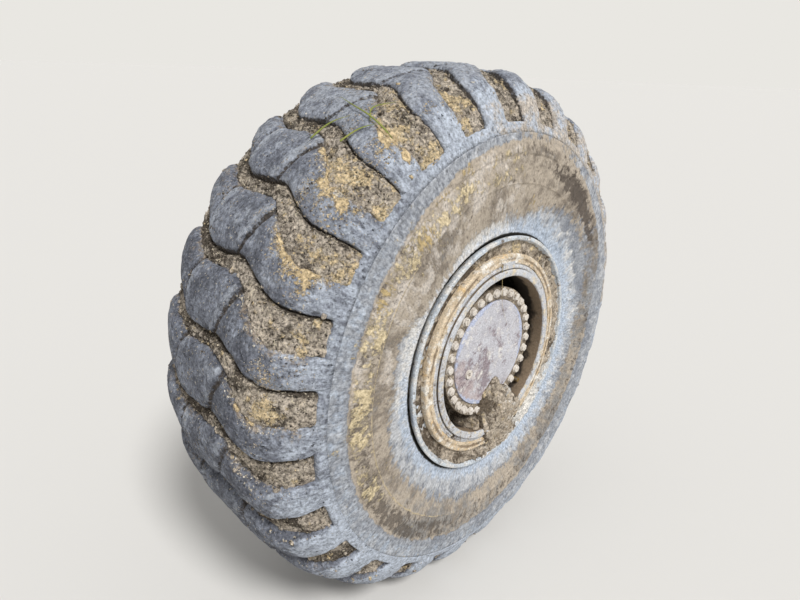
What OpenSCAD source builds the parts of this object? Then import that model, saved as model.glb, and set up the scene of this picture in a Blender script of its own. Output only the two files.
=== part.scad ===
// Wheel end of an articulated dump truck: tyre on a five-piece rim, bolted hub and its braked spindle.
// Lengths are in mm and angles in degrees. Each piece is drawn round its own axle, with local Z outboard
// from the spindle's mounting face, local X forward and local Y up, and is then laid on the row's frame.

/* [Tyre] */
// Diameter over the lugs
tyre_d = 1760; // [1700:10:1800]
// Distance by which a sidewall stands out past the face of its flange
wall_bulge = 51; // [44:1:60]
// Gap between a bead and the underside of its flange's curl
bead_gap = 2.6; // [1.5:0.1:4]
// Gap between a sidewall and its flange's lip
lip_gap = 5.5; // [4:0.5:10]
// Depth of the sidewall under the lip, where it turns in below the flange
lip_sink = 14.5; // [12:0.5:25]
// Radius at which the sidewalls are widest
tyre_widest_r = 590; // [560:5:620]
// Thickness of the casing at the sidewalls
wall_t = 30; // [20:1:45]
// Thickness of the casing under the grooves
belt_t = 38; // [30:1:60]
// Thickness by which the casing grows from the sidewall to the shoulder
shoulder_t = 55; // [45:1:70]
// Number of lugs
lug_count = 26; // [20:1:32]
// Depth of the grooves left between the worn lugs
groove_depth = 34; // [15:1:45]
// Width of a groove at the middle of the tread
groove_w = 42; // [20:1:50]
// Width of a groove where it opens on the shoulder
shoulder_groove_w = 88; // [50:1:95]
// Draft of a groove's walls, as the width that each wall leans in
groove_draft = 7; // [2:1:12]
// Angle by which a groove's shoulder runs ahead of its middle
groove_sweep = 6.8; // [0:0.1:9]
// Distance from the tyre's middle at which a groove starts to bend and widen
bend_start = 55; // [20:5:90]
// Distance from the tyre's middle at which a groove runs straight again
bend_end = 250; // [150:5:260]
// Distance from the widest sidewall in to the end of a groove
groove_end_in = 19.5; // [15:0.5:30]

/* [Rim] */
// Diameter of the bead seats
bead_seat_d = 635; // [630:0.5:640]
// Width between the side flanges
rim_w = 559; // [540:1:570]
// Height of a side flange over the bead seat
flange_h = 76; // [60:1:85]
// Thickness of a side flange
flange_t = 13; // [10:1:16]
// Outer radius of the flange's curl
curl_r = 40; // [30:1:45]
// Height of the end ring that holds a side flange
end_ring_h = 18.5; // [12:0.5:22]
// Length of that end ring along the axle
end_ring_l = 24; // [18:1:30]
// Step from the bead seat band's bore down to the rim's barrel
barrel_step = 2.5; // [1:0.5:5]
// Wall of the rim's barrel
barrel_t = 14; // [10:1:18]
// Distance by which the gutter's bore stands in from the barrel's
gutter_in = 16; // [10:1:20]
// Depth of the lock ring's groove below the band's bore
gutter_depth = 14.5; // [12:0.5:17]
// Gap between the lock ring and the gutter's lip
gutter_gap = 1; // [0.5:0.1:2]
// Width of the gutter's outer lip
gutter_lip_w = 8; // [6:1:12]
// Length of the bead seat band
band_l = 98; // [80:1:120]
// Wall of the bead seat band
band_t = 19; // [14:1:20]
// Thickness of the lock ring along the axle
lock_ring_w = 24; // [18:1:26]
// Gap at the lock ring's split
lock_split = 16; // [8:1:25]
// Place of the split round the rim
lock_split_at = 230; // [0:1:359]
// Height of that lip over the bottom of the groove
gutter_lip_h = 5; // [3:0.5:7]
// Length of the band that seats on the rim base
band_seat_l = 58; // [50:1:64]
// Place of the driver key round the rim
key_at = 87; // [0:1:359]
// Length of the driver key's plate round the rim
key_l = 66; // [50:1:80]
// Width of its tongue in the band
key_w = 24; // [16:1:30]
// Thickness of the plate over the lock ring and the band
key_t = 4; // [3:0.5:6]
// Depth of the tongue
key_h = 12; // [8:1:16]
// Place of the pry slot in the band's end ring
pry_slot_at = 133; // [0:1:359]
// Width of the pry slot
pry_slot_w = 34; // [20:1:40]
// Depth of the pry slot
pry_slot_h = 8; // [4:1:10]
// Width of the rim's mounting ring, from the barrel in to the hub's drum
rim_disc_w = 64; // [60:1:68]
// Thickness of the rim's mounting ring
rim_disc_t = 26; // [18:1:32]
// Size of the weld between the mounting ring and the barrel
weld = 10; // [6:1:14]
// Distance of the mounting ring's inboard face outboard of the tyre's middle
rim_disc_at = 40; // [20:1:80]

/* [Hub] */
// Wall of the hub's drum
drum_wall = 44; // [40:1:60]
// Distance by which the flange that carries the rim stands out from the drum
wheel_flange_w = 44; // [38:1:52]
// Thickness of that flange
wheel_flange_t = 30; // [20:1:40]
// Distance from the drum out to the circle of the wheel studs
stud_out = 22; // [21:0.5:24]
// Number of wheel studs
stud_count = 20; // [12:1:22]
// Diameter of the wheel studs
stud_d = 22; // [18:1:24]
// Width of a wheel nut across its flats
nut_af = 32; // [28:1:34]
// Height of a wheel nut
nut_h = 24; // [18:1:30]
// Length of a stud outside its nut
stud_end = 14; // [4:1:20]
// Height of a stud's head
stud_head = 12; // [8:1:16]
// Depth of the carrier flange's face behind the rim flange's lip
carrier_depth = 29; // [20:1:60]
// Distance by which the carrier's flange stands out from the drum
carrier_over = 3; // [1:0.5:6]
// Thickness of the carrier's flange
carrier_t = 20; // [14:1:30]
// Length of the carrier's spigot in the drum
spigot_l = 30; // [20:1:40]
// Distance from the drum's outside in to the circle of the cover bolts
cover_bolts_in = 13.5; // [12:0.5:15]
// Number of cover bolts
cover_bolt_count = 32; // [16:1:36]
// Diameter of the cover bolts
cover_bolt_d = 16; // [12:1:18]
// Width of a cover bolt's head across its flats
cover_bolt_af = 24; // [19:1:26]
// Height of a cover bolt's head
cover_bolt_head = 10; // [8:0.5:13]
// Length of a cover bolt in the drum
cover_bolt_l = 26; // [18:1:32]
// Place of the first cover bolt
cover_bolt_start = 10; // [0:1:11]
// Distance from the circle of the cover bolts in to the flat hub cover
cover_in = 25.5; // [20:0.5:40]
// Height of the cover over the carrier's face
cover_proud = 5; // [2:0.5:10]
// Thickness of the cover
cover_t = 18; // [12:1:25]
// Distance from the cover's edge in to the oil plug
plug_in = 60; // [40:1:120]
// Place of the oil plug round the cover
plug_at = 199; // [0:1:359]
// Diameter of the oil plug
plug_d = 30; // [22:1:38]
// Diameter of the plug's thread
plug_stem_d = 20; // [14:1:20]
// Height of the plug's head
plug_h = 6; // [4:0.5:9]
// Distance from the wheel flange's face to the floor of the drum's cavity
cavity_floor = 40; // [34:1:50]
// Clearance between the calipers and the hub's cone
neck_clear = 10; // [6:1:14]
// Length of that cone
neck_flare = 40; // [30:1:50]

/* [Spindle] */
// Distance from the mounting face to the tyre's middle
wheel_offset = 430; // [425:1:445]
// Distance by which the mounting flange stands out from the boss
mount_w = 54; // [50:1:64]
// Thickness of the mounting flange
mount_t = 32; // [24:1:36]
// Distance from the flange's edge in to the circle of the mounting bolts
mount_edge = 24; // [20:1:28]
// Number of mounting bolts
mount_count = 16; // [10:1:20]
// Radius of the mounting bolt holes
mount_hole_r = 11; // [8:0.5:12]
// Radius of the register that enters the axle casing
register_r = 130; // [110:1:140]
// Height of that register
register_h = 10; // [5:1:15]
// Width of the boss's face that carries the brake bracket
boss_w = 23; // [22:0.5:28]
// Length of that boss, from the mounting face
boss_l = 64; // [56:1:70]
// Height of the boss's face over the journal
shoulder_h = 14; // [10:1:18]
// Wall of the hub's journal
journal_wall = 55; // [48:1:58]
// Length of the journal past the hub's bore
journal_out = 90; // [60:1:120]
// Clearance round the half shaft in the spindle's bore
shaft_clear = 14; // [8:1:20]
// Chamfer along the edges of forged and turned faces
chamfer = 3; // [1:0.5:4]

/* [Half shaft] */
// Radius of the shaft
shaft_r = 36; // [30:1:42]
// Distance that the shaft reaches inboard of the mounting face
shaft_reach = 150; // [110:5:200]
// Length of its splines
spline_l = 80; // [50:5:100]
// Number of spline teeth
spline_teeth = 28; // [16:1:36]
// Depth of the spline teeth
spline_depth = 4; // [2:0.5:6]
// Length of the seal journal in the spindle's bore
seal_journal_l = 40; // [25:1:60]

/* [Brake] */
// Gap between the brake disc's bore and the journal
disc_bore_gap = 23; // [20:1:26]
// Thickness of the disc
disc_t = 38; // [30:1:44]
// Thickness of each friction plate of the disc
disc_plate_t = 12; // [9:1:14]
// Distance from the mounting face to the disc's middle
disc_at = 168; // [160:1:175]
// Number of vanes between the disc's plates
vane_count = 36; // [24:1:48]
// Thickness of a vane
vane_t = 6; // [4:1:9]
// Distance from the disc's bore out to the circle of its bolts
disc_bolts_out = 11; // [10:1:14]
// Number of disc bolts
disc_bolt_count = 12; // [8:1:16]
// Diameter of the disc bolts
disc_bolt_d = 12; // [10:1:12]
// Width across the flats of the disc and bracket bolts
brake_bolt_af = 16; // [14:1:17]
// Height of their heads
brake_bolt_head = 8; // [6:0.5:10]
// Length of a disc bolt in the hub
disc_bolt_l = 12; // [10:1:14]
// Width of the hub's disc flange outside the disc bolts' circle
disc_flange_w = 13; // [11:1:16]
// Thickness of that flange
disc_flange_t = 18; // [16:1:20]
// Clearance between that flange and the pads
pad_clear = 6; // [5:1:10]
// Angle that a caliper covers round the disc
caliper_arc = 54; // [40:1:70]
// Clearance between the calipers and the rim's barrel
caliper_gap = 12; // [8:1:18]
// Thickness of a caliper's bridge over the disc
bridge_t = 29; // [22:1:34]
// Clearance between the disc's edge and the bridge
bridge_gap = 7; // [5:1:10]
// Angle of the window in the bridge
window_arc = 18; // [10:1:24]
// Margin of the calipers round the pads
pad_margin = 4; // [2:1:6]
// Thickness of a caliper's outboard side
caliper_cheek = 38; // [28:1:45]
// Thickness of a caliper's inboard side
caliper_back = 18; // [14:1:22]
// Radius of a caliper's piston housings
piston_r = 36; // [28:1:38]
// Gap between the two housings
piston_gap = 10; // [4:1:14]
// Thickness of a brake pad with its back plate
pad_t = 22; // [14:1:26]
// Gap between a pad and the disc
pad_gap = 0.6; // [0.4:0.1:1]
// Thickness of the caliper bracket
bracket_t = 20; // [14:1:26]
// Width of the bracket's arms
bracket_arm_w = 150; // [120:1:170]
// Margin of the bracket's ring round the boss
bracket_margin = 10; // [6:1:14]
// Number of bracket bolts
bracket_bolt_count = 12; // [8:1:14]
// Diameter of the bracket bolts
bracket_bolt_d = 10; // [8:1:11]
// Depth of the bracket bolts in the boss
bracket_bolt_l = 20; // [14:1:26]
// Thickness of the dirt shield
shield_t = 3; // [2:0.5:5]
// Gap between the shield and the disc
shield_gap = 12; // [8:1:16]
// Diameter of the brake pipe
pipe_d = 10; // [8:1:12]
// Thickness of its clips
pipe_clip_t = 2.5; // [2:0.5:4]
// Length of the unions at its ends
union_l = 22; // [16:1:28]
// Width of the shield's rim over the disc's edge
shield_rim = 8; // [6:1:10]
// Radius of the shield's lugs on the bracket
shield_lug_r = 7; // [5:0.5:9]

/* [Valve] */
// Place of the valve round the rim
valve_at = 318; // [0:1:359]
// Distance from the barrel's bore in to the valve
valve_in = 27; // [25:1:30]
// Diameter of the valve's stem
valve_d = 12; // [8:1:14]
// Length of the valve's stem
valve_l = 90; // [60:1:120]
// Width of the block at the valve's elbow
valve_block = 22; // [18:1:24]
// Length of the valve's cap
valve_cap_l = 18; // [12:1:24]

/* [Hidden] */
$fn = 64;

// Clearances shared by every piece
seat_gap = 0.3;
bearing_gap = 0.1;
cut = 1;

// Derived places of the rim, from the tyre's middle
seat_r = bead_seat_d / 2;
flange_face = rim_w / 2;
flange_back = flange_face + flange_t;
curl_centre_r = seat_r + flange_h - curl_r;
lip_z = flange_face + curl_r;
end_ring_z = flange_back + end_ring_l;
gutter_z = end_ring_z + gutter_gap + gutter_lip_w;
band_in_r = seat_r - band_t;
barrel_r = band_in_r - barrel_step;
barrel_in_r = barrel_r - barrel_t;
gutter_r = band_in_r - gutter_depth;
gutter_bore_r = barrel_in_r - gutter_in;
lock_out_r = band_in_r + 6;
key_in_r = gutter_r + gutter_lip_h + 2;
key_out_r = lock_out_r + 7;
valve_at_r = barrel_in_r - valve_in;

// Derived sizes of the spindle and the hub, each ring outside the one before
spindle_bore_r = shaft_r + shaft_clear;
journal_r = spindle_bore_r + journal_wall;
shoulder_r = journal_r + shoulder_h;
boss_r = shoulder_r + boss_w;
mount_r = boss_r + mount_w;
mount_bolt_r = mount_r - mount_edge;
bracket_bolt_r = (boss_r + shoulder_r) / 2;
drum_r = barrel_in_r - rim_disc_w;
wheel_flange_r = drum_r + wheel_flange_w;
stud_r = drum_r + stud_out;
carrier_r = drum_r + carrier_over;
cover_bolt_r = drum_r - cover_bolts_in;
cover_r = cover_bolt_r - cover_in;
plug_at_r = cover_r - plug_in;
caliper_r = barrel_in_r - caliper_gap;
bridge_in_r = caliper_r - bridge_t;
disc_r = bridge_in_r - bridge_gap;
disc_bore_r = journal_r + disc_bore_gap;
disc_bolt_r = disc_bore_r + disc_bolts_out;
disc_flange_r = disc_bolt_r + disc_flange_w;
pad_in_r = disc_flange_r + pad_clear;
caliper_inner_r = pad_in_r - pad_margin;
neck_r = caliper_inner_r - 24;
pipe_bend_r = (caliper_r + caliper_inner_r) / 2;

// Derived places along the axle, from the mounting face
wheel_flange_z = wheel_offset + rim_disc_at;
cavity_z = wheel_flange_z + cavity_floor;
journal_l = cavity_z + journal_out;
carrier_z = wheel_offset + lip_z - carrier_depth;
drum_end_z = carrier_z - carrier_t;
cover_z = carrier_z + cover_proud;
disc_out_z = disc_at + disc_t / 2;
disc_in_z = disc_at - disc_t / 2;
bracket_z = boss_l + bracket_t;
slot_in_z = disc_in_z - pad_gap - pad_t;
slot_out_z = disc_out_z + pad_gap + pad_t;
caliper_out_z = slot_out_z + caliper_cheek;
shield_z = disc_in_z - shield_gap - shield_t;

// Turns a piece's own frame, Z outboard and Y up, onto the row's frame, +Y inboard and +Z up
module on_axle() {
    rotate([90, 0, 0]) children();
}

// Revolves [radius, distance outboard of the mounting face] points
module revolve(points) {
    rotate_extrude($fn = 128) polygon(points);
}

// Places children on a circle of the given radius
module ring_of(count, radius, start = 0) {
    for (i = [0 : count - 1])
        rotate([0, 0, start + i * 360 / count]) translate([radius, 0, 0]) children();
}

// A tube or ring from z0 to z1
module tube(r_out, r_in, z0, z1) {
    revolve([[r_in, z0], [r_out, z0], [r_out, z1], [r_in, z1]]);
}

// A hexagon head or nut from z0 upwards
module hexagon(across_flats, height) {
    cylinder(d = across_flats / cos(30), h = height, $fn = 6);
}

// Points of an arc, [radius, z], round a centre
function arc_points(centre, r, from, to, steps) =
    [for (i = [0 : steps]) let(a = from + (to - from) * i / steps)
        [centre[0] + r * cos(a), centre[1] + r * sin(a)]];

function mirrored(points) = [for (p = points) [p[0], -p[1]]];
function moved(points, dz) = [for (p = points) [p[0], p[1] + dz]];

// Tyre: the outline is a blunt oval from the widest point out to the crown, drawn as
// (v / half width)^crown_power + (height / crown height)^side_power = 1
crown_power = 4;
side_power = 2.1;
half_w = flange_face + wall_bulge;
groove_end = half_w - groove_end_in;
belt_half_w = half_w * 0.59;
crown_h = tyre_d / 2 - tyre_widest_r;
lip_wall_r = curl_centre_r + curl_r + lip_gap;
lip_pinch = half_w - lip_z + lip_sink;
under_curl = 27.5;
lower_power = 1.55;

function crown_at(v) = tyre_widest_r + crown_h * pow(1 - pow(abs(v) / half_w, crown_power), 1 / side_power);
function slope_at(v) = let(
        side = crown_power * pow(abs(v), crown_power - 1) / pow(half_w, crown_power),
        up = side_power * pow(crown_at(v) - tyre_widest_r, side_power - 1) / pow(crown_h, side_power))
    [up, side * (v < 0 ? -1 : 1)] / norm([up, side]);
function lower_wall_at(r) =
    half_w - lip_pinch * pow((tyre_widest_r - r) / (tyre_widest_r - lip_wall_r), lower_power);
// Share of its bend and of its widening that a groove has made at v
function turn_at(v) = let(t = min(1, max(0, (abs(v) - bend_start) / (bend_end - bend_start)))) t * t * (3 - 2 * t);
function bend_at(v) = (v < 0 ? -1 : 1) * groove_sweep * turn_at(v);
function groove_w_at(v) = groove_w + (shoulder_groove_w - groove_w) * turn_at(v);

// One ring of the tread: for each groove its two floor points, and for the lug after it both edges and the middle
function tread_ring(v) = let(
        pitch = 360 / lug_count, top = crown_at(v), n = slope_at(v),
        floor_r = top - groove_depth * n[0], floor_v = v - groove_depth * n[1],
        half_edge = groove_w_at(v) / 2, edge = half_edge / top * 180 / PI,
        half_floor = (half_edge - groove_draft) / top * 180 / PI)
    [for (i = [0 : lug_count - 1]) let(a = i * pitch + bend_at(v))
        each [round_point(floor_r, floor_v, a - half_floor), round_point(floor_r, floor_v, a + half_floor),
              round_point(top, v, a + edge), round_point(top, v, a + pitch / 2), round_point(top, v, a + pitch - edge)]];
// One plain ring of the casing or the liner, with so many points to each lug
function plain_ring(p, sweep, per_lug) = [for (i = [0 : per_lug * lug_count - 1])
    round_point(p[0], p[1], i * 360 / (per_lug * lug_count) + sweep)];
function round_point(r, v, a) = [r * cos(a), r * sin(a), v];

// Places of the tread's rings, shares of the upper sidewall and of the lower sidewall
tread_v = [0, 0.2, 0.37, 0.53, 0.66, 0.84, 1];
sidewall_r = [0.8, 0.42];
lower_side = [0, 0.58, 1];
tyre_bead_r = seat_r / cos(90 / lug_count) + seat_gap;
// Depth of the shoulder's step under a groove's end, and the sizes of the bead
shoulder_step = 12;
bead_toe = 50;
bead_heel = 4;
// Outer side of one half below the grooves, [radius, distance from the middle], down to the bead's toe
function outer_half() = concat(
    [[crown_at(groove_end) - shoulder_step, groove_end + shoulder_step / 5]],
    [for (k = sidewall_r) let(r = tyre_widest_r + (crown_at(groove_end) - tyre_widest_r) * k)
        [r, half_w * pow(1 - pow((r - tyre_widest_r) / crown_h, side_power), 1 / crown_power)]],
    [for (k = lower_side) let(r = tyre_widest_r - (tyre_widest_r - lip_wall_r) * k)
        [r, lower_wall_at(r)]],
    [[curl_centre_r + curl_r * sin(under_curl), lip_z - curl_r * cos(under_curl) - bead_gap],
     [curl_centre_r, flange_face - seat_gap], [tyre_bead_r, flange_face - seat_gap - bead_heel],
     [tyre_bead_r, flange_face - band_l * 0.72]]);
// Liner of one half, from the bead's toe to the crown
function inner_half() = [[curl_centre_r + bead_toe * 0.4, flange_face - bead_toe],
    [tyre_widest_r, half_w - wall_t],
    [tyre_widest_r + crown_h * 0.5, half_w - wall_t - shoulder_t],
    [crown_at(belt_half_w) - groove_depth - belt_t, belt_half_w]];

function reversed(list) = [for (i = [len(list) - 1 : -1 : 0]) list[i]];
// All rings in one loop round the section
function tyre_rings() = let(out = outer_half(), liner = inner_half()) concat(
    [for (i = [len(tread_v) - 1 : -1 : 1]) tread_ring(-tread_v[i] * groove_end)],
    [for (k = tread_v) tread_ring(k * groove_end)],
    [for (p = out) plain_ring(p, groove_sweep, 2)],
    [for (p = liner) plain_ring(p, groove_sweep * 0.5, 1)],
    [plain_ring([crown_at(0) - groove_depth - belt_t, 0], 0, 1)],
    [for (p = reversed(liner)) plain_ring([p[0], -p[1]], -groove_sweep * 0.5, 1)],
    [for (p = reversed(out)) plain_ring([p[0], -p[1]], -groove_sweep, 2)]);

// Triangles between two neighbouring rings that start at points a and b, each edge with the nearest
// point of the other ring
function strip(a, na, b, nb) = concat(
    [for (i = [0 : na - 1]) [a + i, b + ceil(nb * (i + 0.5) / na - 0.5) % nb, a + (i + 1) % na]],
    [for (j = [0 : nb - 1]) [a + floor(na * (j + 0.5) / nb + 0.5) % na, b + j, b + (j + 1) % nb]]);

module tyre_solid() {
    rings = tyre_rings();
    starts = [for (i = 0, s = 0; i < len(rings); s = s + len(rings[i]), i = i + 1) s];
    polyhedron(
        points = [for (r = rings) each r],
        faces = [for (i = [0 : len(rings) - 1]) let(j = (i + 1) % len(rings))
            each strip(starts[i], len(rings[i]), starts[j], len(rings[j]))]);
}

module tyre() {
    color("dimgray") on_axle() translate([0, 0, wheel_offset]) tyre_solid();
}

// Section of a side flange: flat foot on the bead seat, then a quarter-round curl out to the lip
function flange_section() = concat(
    [[seat_r + seat_gap, flange_back], [seat_r + seat_gap, flange_face]],
    arc_points([curl_centre_r, lip_z], curl_r, -90, 0, 8),
    arc_points([curl_centre_r, lip_z], curl_r - flange_t, 0, -90, 8));

module flange_outer() {
    color("lightsteelblue") on_axle() revolve(moved(flange_section(), wheel_offset));
}

module flange_inner() {
    color("lightsteelblue") on_axle() revolve(moved(mirrored(flange_section()), wheel_offset));
}

module bead_seat_band() {
    nose = 8;
    color("burlywood") on_axle() difference() {
        revolve(moved([
            [band_in_r, flange_face - band_l + nose], [band_in_r + nose, flange_face - band_l],
            [seat_r - nose, flange_face - band_l], [seat_r, flange_face - band_l + 2 * nose],
            [seat_r, flange_back], [seat_r + end_ring_h - 3, flange_back], [seat_r + end_ring_h, flange_back + 3],
            [seat_r + end_ring_h, end_ring_z - 4], [seat_r + end_ring_h - 4, end_ring_z],
            [lock_out_r, end_ring_z], [lock_out_r, end_ring_z - lock_ring_w],
            [band_in_r, end_ring_z - lock_ring_w - nose]], wheel_offset));
        rotate([0, 0, key_at]) translate([0, -key_w / 2 - seat_gap, wheel_offset + end_ring_z - key_h - seat_gap])
            cube([key_out_r + seat_gap, key_w + 2 * seat_gap, key_h + seat_gap + cut]);
        rotate([0, 0, pry_slot_at]) translate([seat_r + end_ring_h - pry_slot_h, -pry_slot_w / 2,
                wheel_offset + end_ring_z - 2 * pry_slot_h])
            cube([2 * pry_slot_h, pry_slot_w, 2 * pry_slot_h + cut]);
    }
}

// The split lock ring, stepped on its outboard face
module lock_ring() {
    split_angle = lock_split / gutter_r * 180 / PI;
    z1 = end_ring_z;
    z0 = z1 - lock_ring_w + seat_gap;
    section = [[gutter_r + seat_gap, z0 + 5], [gutter_r + 5, z0], [lock_out_r - 5, z0],
        [lock_out_r - seat_gap, z0 + 3], [lock_out_r - seat_gap, z1 - 3], [lock_out_r - 7, z1 - 3],
        [lock_out_r - 7, z1], [gutter_r + 6, z1], [gutter_r + 6, z1 - 5], [gutter_r + seat_gap, z1 - 5]];
    color("tan") on_axle() rotate([0, 0, lock_split_at + split_angle / 2])
        rotate_extrude(angle = 360 - split_angle, $fn = 128) polygon(moved(section, wheel_offset));
}

// The driver key that keeps the band from turning: a plate over the lock ring, with a tongue in the band
module driver_key() {
    color("gainsboro") on_axle() rotate([0, 0, key_at]) translate([0, 0, wheel_offset + end_ring_z]) {
        translate([key_in_r, -key_l / 2, seat_gap]) cube([key_out_r - key_in_r, key_l, key_t]);
        translate([lock_out_r + seat_gap, -key_w / 2, -key_h])
            cube([key_out_r - lock_out_r - seat_gap, key_w, key_h + 2 * seat_gap]);
    }
}

// Section of the rim base, [radius, z from the tyre's middle], outboard end first
function base_section() = let(
        ramp = seat_r - barrel_r, lock_in_z = end_ring_z - lock_ring_w,
        thick_z = flange_face - band_seat_l) [
    [gutter_bore_r, gutter_z - chamfer], [gutter_bore_r + chamfer, gutter_z], [gutter_r + gutter_lip_h - 2, gutter_z],
    [gutter_r + gutter_lip_h, gutter_z - gutter_lip_w + 3], [gutter_r, gutter_z - gutter_lip_w],
    [gutter_r, lock_in_z], [band_in_r - seat_gap, lock_in_z - 12], [band_in_r - seat_gap, thick_z],
    [barrel_r, thick_z - 10], [barrel_r, -flange_face + band_l + 3 * ramp],
    [seat_r - 6, -flange_face + band_l], [seat_r, -flange_face + band_l - 20],
    [seat_r, -flange_back], [seat_r + end_ring_h, -flange_back], [seat_r + end_ring_h, 5 - end_ring_z],
    [seat_r + end_ring_h - 5, -end_ring_z], [seat_r - 20, -end_ring_z],
    [barrel_in_r, 30 - flange_back], [barrel_in_r, thick_z - 25],
    [gutter_bore_r, thick_z + 5]];

module rim_base() {
    color("slategray") on_axle() difference() {
        revolve(moved(base_section(), wheel_offset));
        rotate([0, 0, valve_at]) translate([valve_at_r - cut, 0, valve_z])
            rotate([0, 90, 0]) cylinder(d = valve_d + 6, h = barrel_r - valve_at_r + 3 * cut);
    }
}

module rim_disc() {
    hole_d = stud_d + 2;
    inner = drum_r + seat_gap;
    z0 = wheel_flange_z;
    z1 = z0 + rim_disc_t;
    outer = barrel_in_r - seat_gap;
    color("slategray") on_axle() difference() {
        revolve([[inner, z0], [outer, z0], [outer, z1 + weld], [outer - weld, z1], [inner, z1]]);
        ring_of(stud_count, stud_r) translate([0, 0, z0 - cut]) cylinder(d = hole_d, h = rim_disc_t + 2 * cut);
    }
}

// Tyre valve: a base nut in the barrel, an elbow and a stem that points outboard
valve_z = wheel_offset + flange_face - band_l + 5;
module valve() {
    color("goldenrod") on_axle() rotate([0, 0, valve_at]) {
        translate([valve_at_r, 0, valve_z]) rotate([0, 90, 0]) cylinder(d = valve_d, h = barrel_r - valve_at_r);
        translate([valve_at_r, 0, valve_z]) cube(valve_block, center = true);
        translate([valve_at_r, 0, valve_z]) cylinder(d = valve_d, h = valve_l);
        translate([valve_at_r, 0, valve_z + valve_l]) cylinder(d = valve_d + 4, h = valve_cap_l);
        translate([valve_at_r + valve_d, 0, valve_z]) rotate([0, 90, 0])
            cylinder(d = valve_d + 12, h = barrel_in_r - seat_gap - valve_at_r - valve_d, $fn = 6);
    }
}

// Hub: the drum carries the rim on its flange, the brake disc on its neck and the carrier on its end
module hub() {
    bore = journal_r + bearing_gap;
    flange_in_z = wheel_flange_z - wheel_flange_t;
    body_r = drum_r - drum_wall * 0.45;
    neck_out_z = caliper_out_z + neck_clear;
    color("darkgray") on_axle() difference() {
        revolve([[bore, disc_out_z], [disc_flange_r, disc_out_z], [disc_flange_r, disc_out_z + disc_flange_t],
            [neck_r, disc_out_z + disc_flange_t + 2 * chamfer], [neck_r, neck_out_z], [body_r, neck_out_z + neck_flare],
            [body_r, flange_in_z - wheel_flange_t], [body_r + wheel_flange_t / 2, flange_in_z],
            [wheel_flange_r - chamfer, flange_in_z], [wheel_flange_r, flange_in_z + chamfer],
            [wheel_flange_r, wheel_flange_z], [drum_r, wheel_flange_z], [drum_r, drum_end_z],
            [drum_r - drum_wall, drum_end_z], [drum_r - drum_wall, cavity_z], [bore, cavity_z]]);
        ring_of(cover_bolt_count, cover_bolt_r, cover_bolt_start) translate([0, 0, drum_end_z - cover_bolt_l - chamfer])
            cylinder(d = cover_bolt_d, h = cover_bolt_l + chamfer + cut);
        ring_of(stud_count, stud_r) translate([0, 0, flange_in_z - cut])
            cylinder(d = stud_d, h = wheel_flange_t + 2 * cut);
        ring_of(disc_bolt_count, disc_bolt_r) translate([0, 0, disc_out_z - cut])
            cylinder(d = disc_bolt_d, h = disc_bolt_l + chamfer + cut);
    }
}

// Studs and nuts that hold the rim on the hub
module wheel_nuts() {
    face = wheel_flange_z + rim_disc_t;
    color("dimgray") on_axle() ring_of(stud_count, stud_r) {
        translate([0, 0, face]) hexagon(nut_af, nut_h);
        translate([0, 0, wheel_flange_z - wheel_flange_t])
            cylinder(d = stud_d - 2 * bearing_gap, h = wheel_flange_t + rim_disc_t + nut_h + stud_end);
        translate([0, 0, wheel_flange_z - wheel_flange_t - stud_head]) cylinder(d = nut_af, h = stud_head);
    }
}

// Carrier of the final drive: its flange closes the drum and its recess takes the cover
module planet_carrier() {
    floor_z = cover_z - cover_t;
    spigot_r = drum_r - drum_wall - bearing_gap;
    color("gray") on_axle() difference() {
        revolve([[0, drum_end_z - spigot_l], [spigot_r, drum_end_z - spigot_l], [spigot_r, drum_end_z],
            [carrier_r - chamfer, drum_end_z], [carrier_r, drum_end_z + chamfer], [carrier_r, carrier_z - chamfer],
            [carrier_r - chamfer, carrier_z], [cover_r + seat_gap, carrier_z], [cover_r + seat_gap, floor_z], [0, floor_z]]);
        ring_of(cover_bolt_count, cover_bolt_r, cover_bolt_start) translate([0, 0, drum_end_z - cut])
            cylinder(d = cover_bolt_d + 1, h = carrier_t + 2 * cut);
    }
}

module hub_cover() {
    color("rosybrown") on_axle() difference() {
        revolve([[0, cover_z - cover_t], [cover_r, cover_z - cover_t], [cover_r, cover_z - chamfer],
            [cover_r - chamfer, cover_z], [0, cover_z]]);
        rotate([0, 0, plug_at]) translate([plug_at_r, 0, cover_z - cover_t / 2])
            cylinder(d = plug_stem_d, h = cover_t);
    }
}

module cover_bolts() {
    color("silver") on_axle() ring_of(cover_bolt_count, cover_bolt_r, cover_bolt_start) {
        translate([0, 0, carrier_z]) hexagon(cover_bolt_af, cover_bolt_head);
        translate([0, 0, carrier_z - carrier_t - cover_bolt_l])
            cylinder(d = cover_bolt_d - 2 * bearing_gap, h = carrier_t + cover_bolt_l);
    }
}

module oil_plug() {
    color("silver") on_axle() rotate([0, 0, plug_at]) translate([plug_at_r, 0, cover_z]) difference() {
        union() {
            cylinder(d = plug_d, h = plug_h);
            translate([0, 0, -cover_t / 2 + seat_gap]) cylinder(d = plug_stem_d - 2 * bearing_gap, h = cover_t / 2);
        }
        translate([0, 0, -cut]) cylinder(d = plug_d * 0.46, h = plug_h + 2 * cut, $fn = 6);
    }
}

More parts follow.
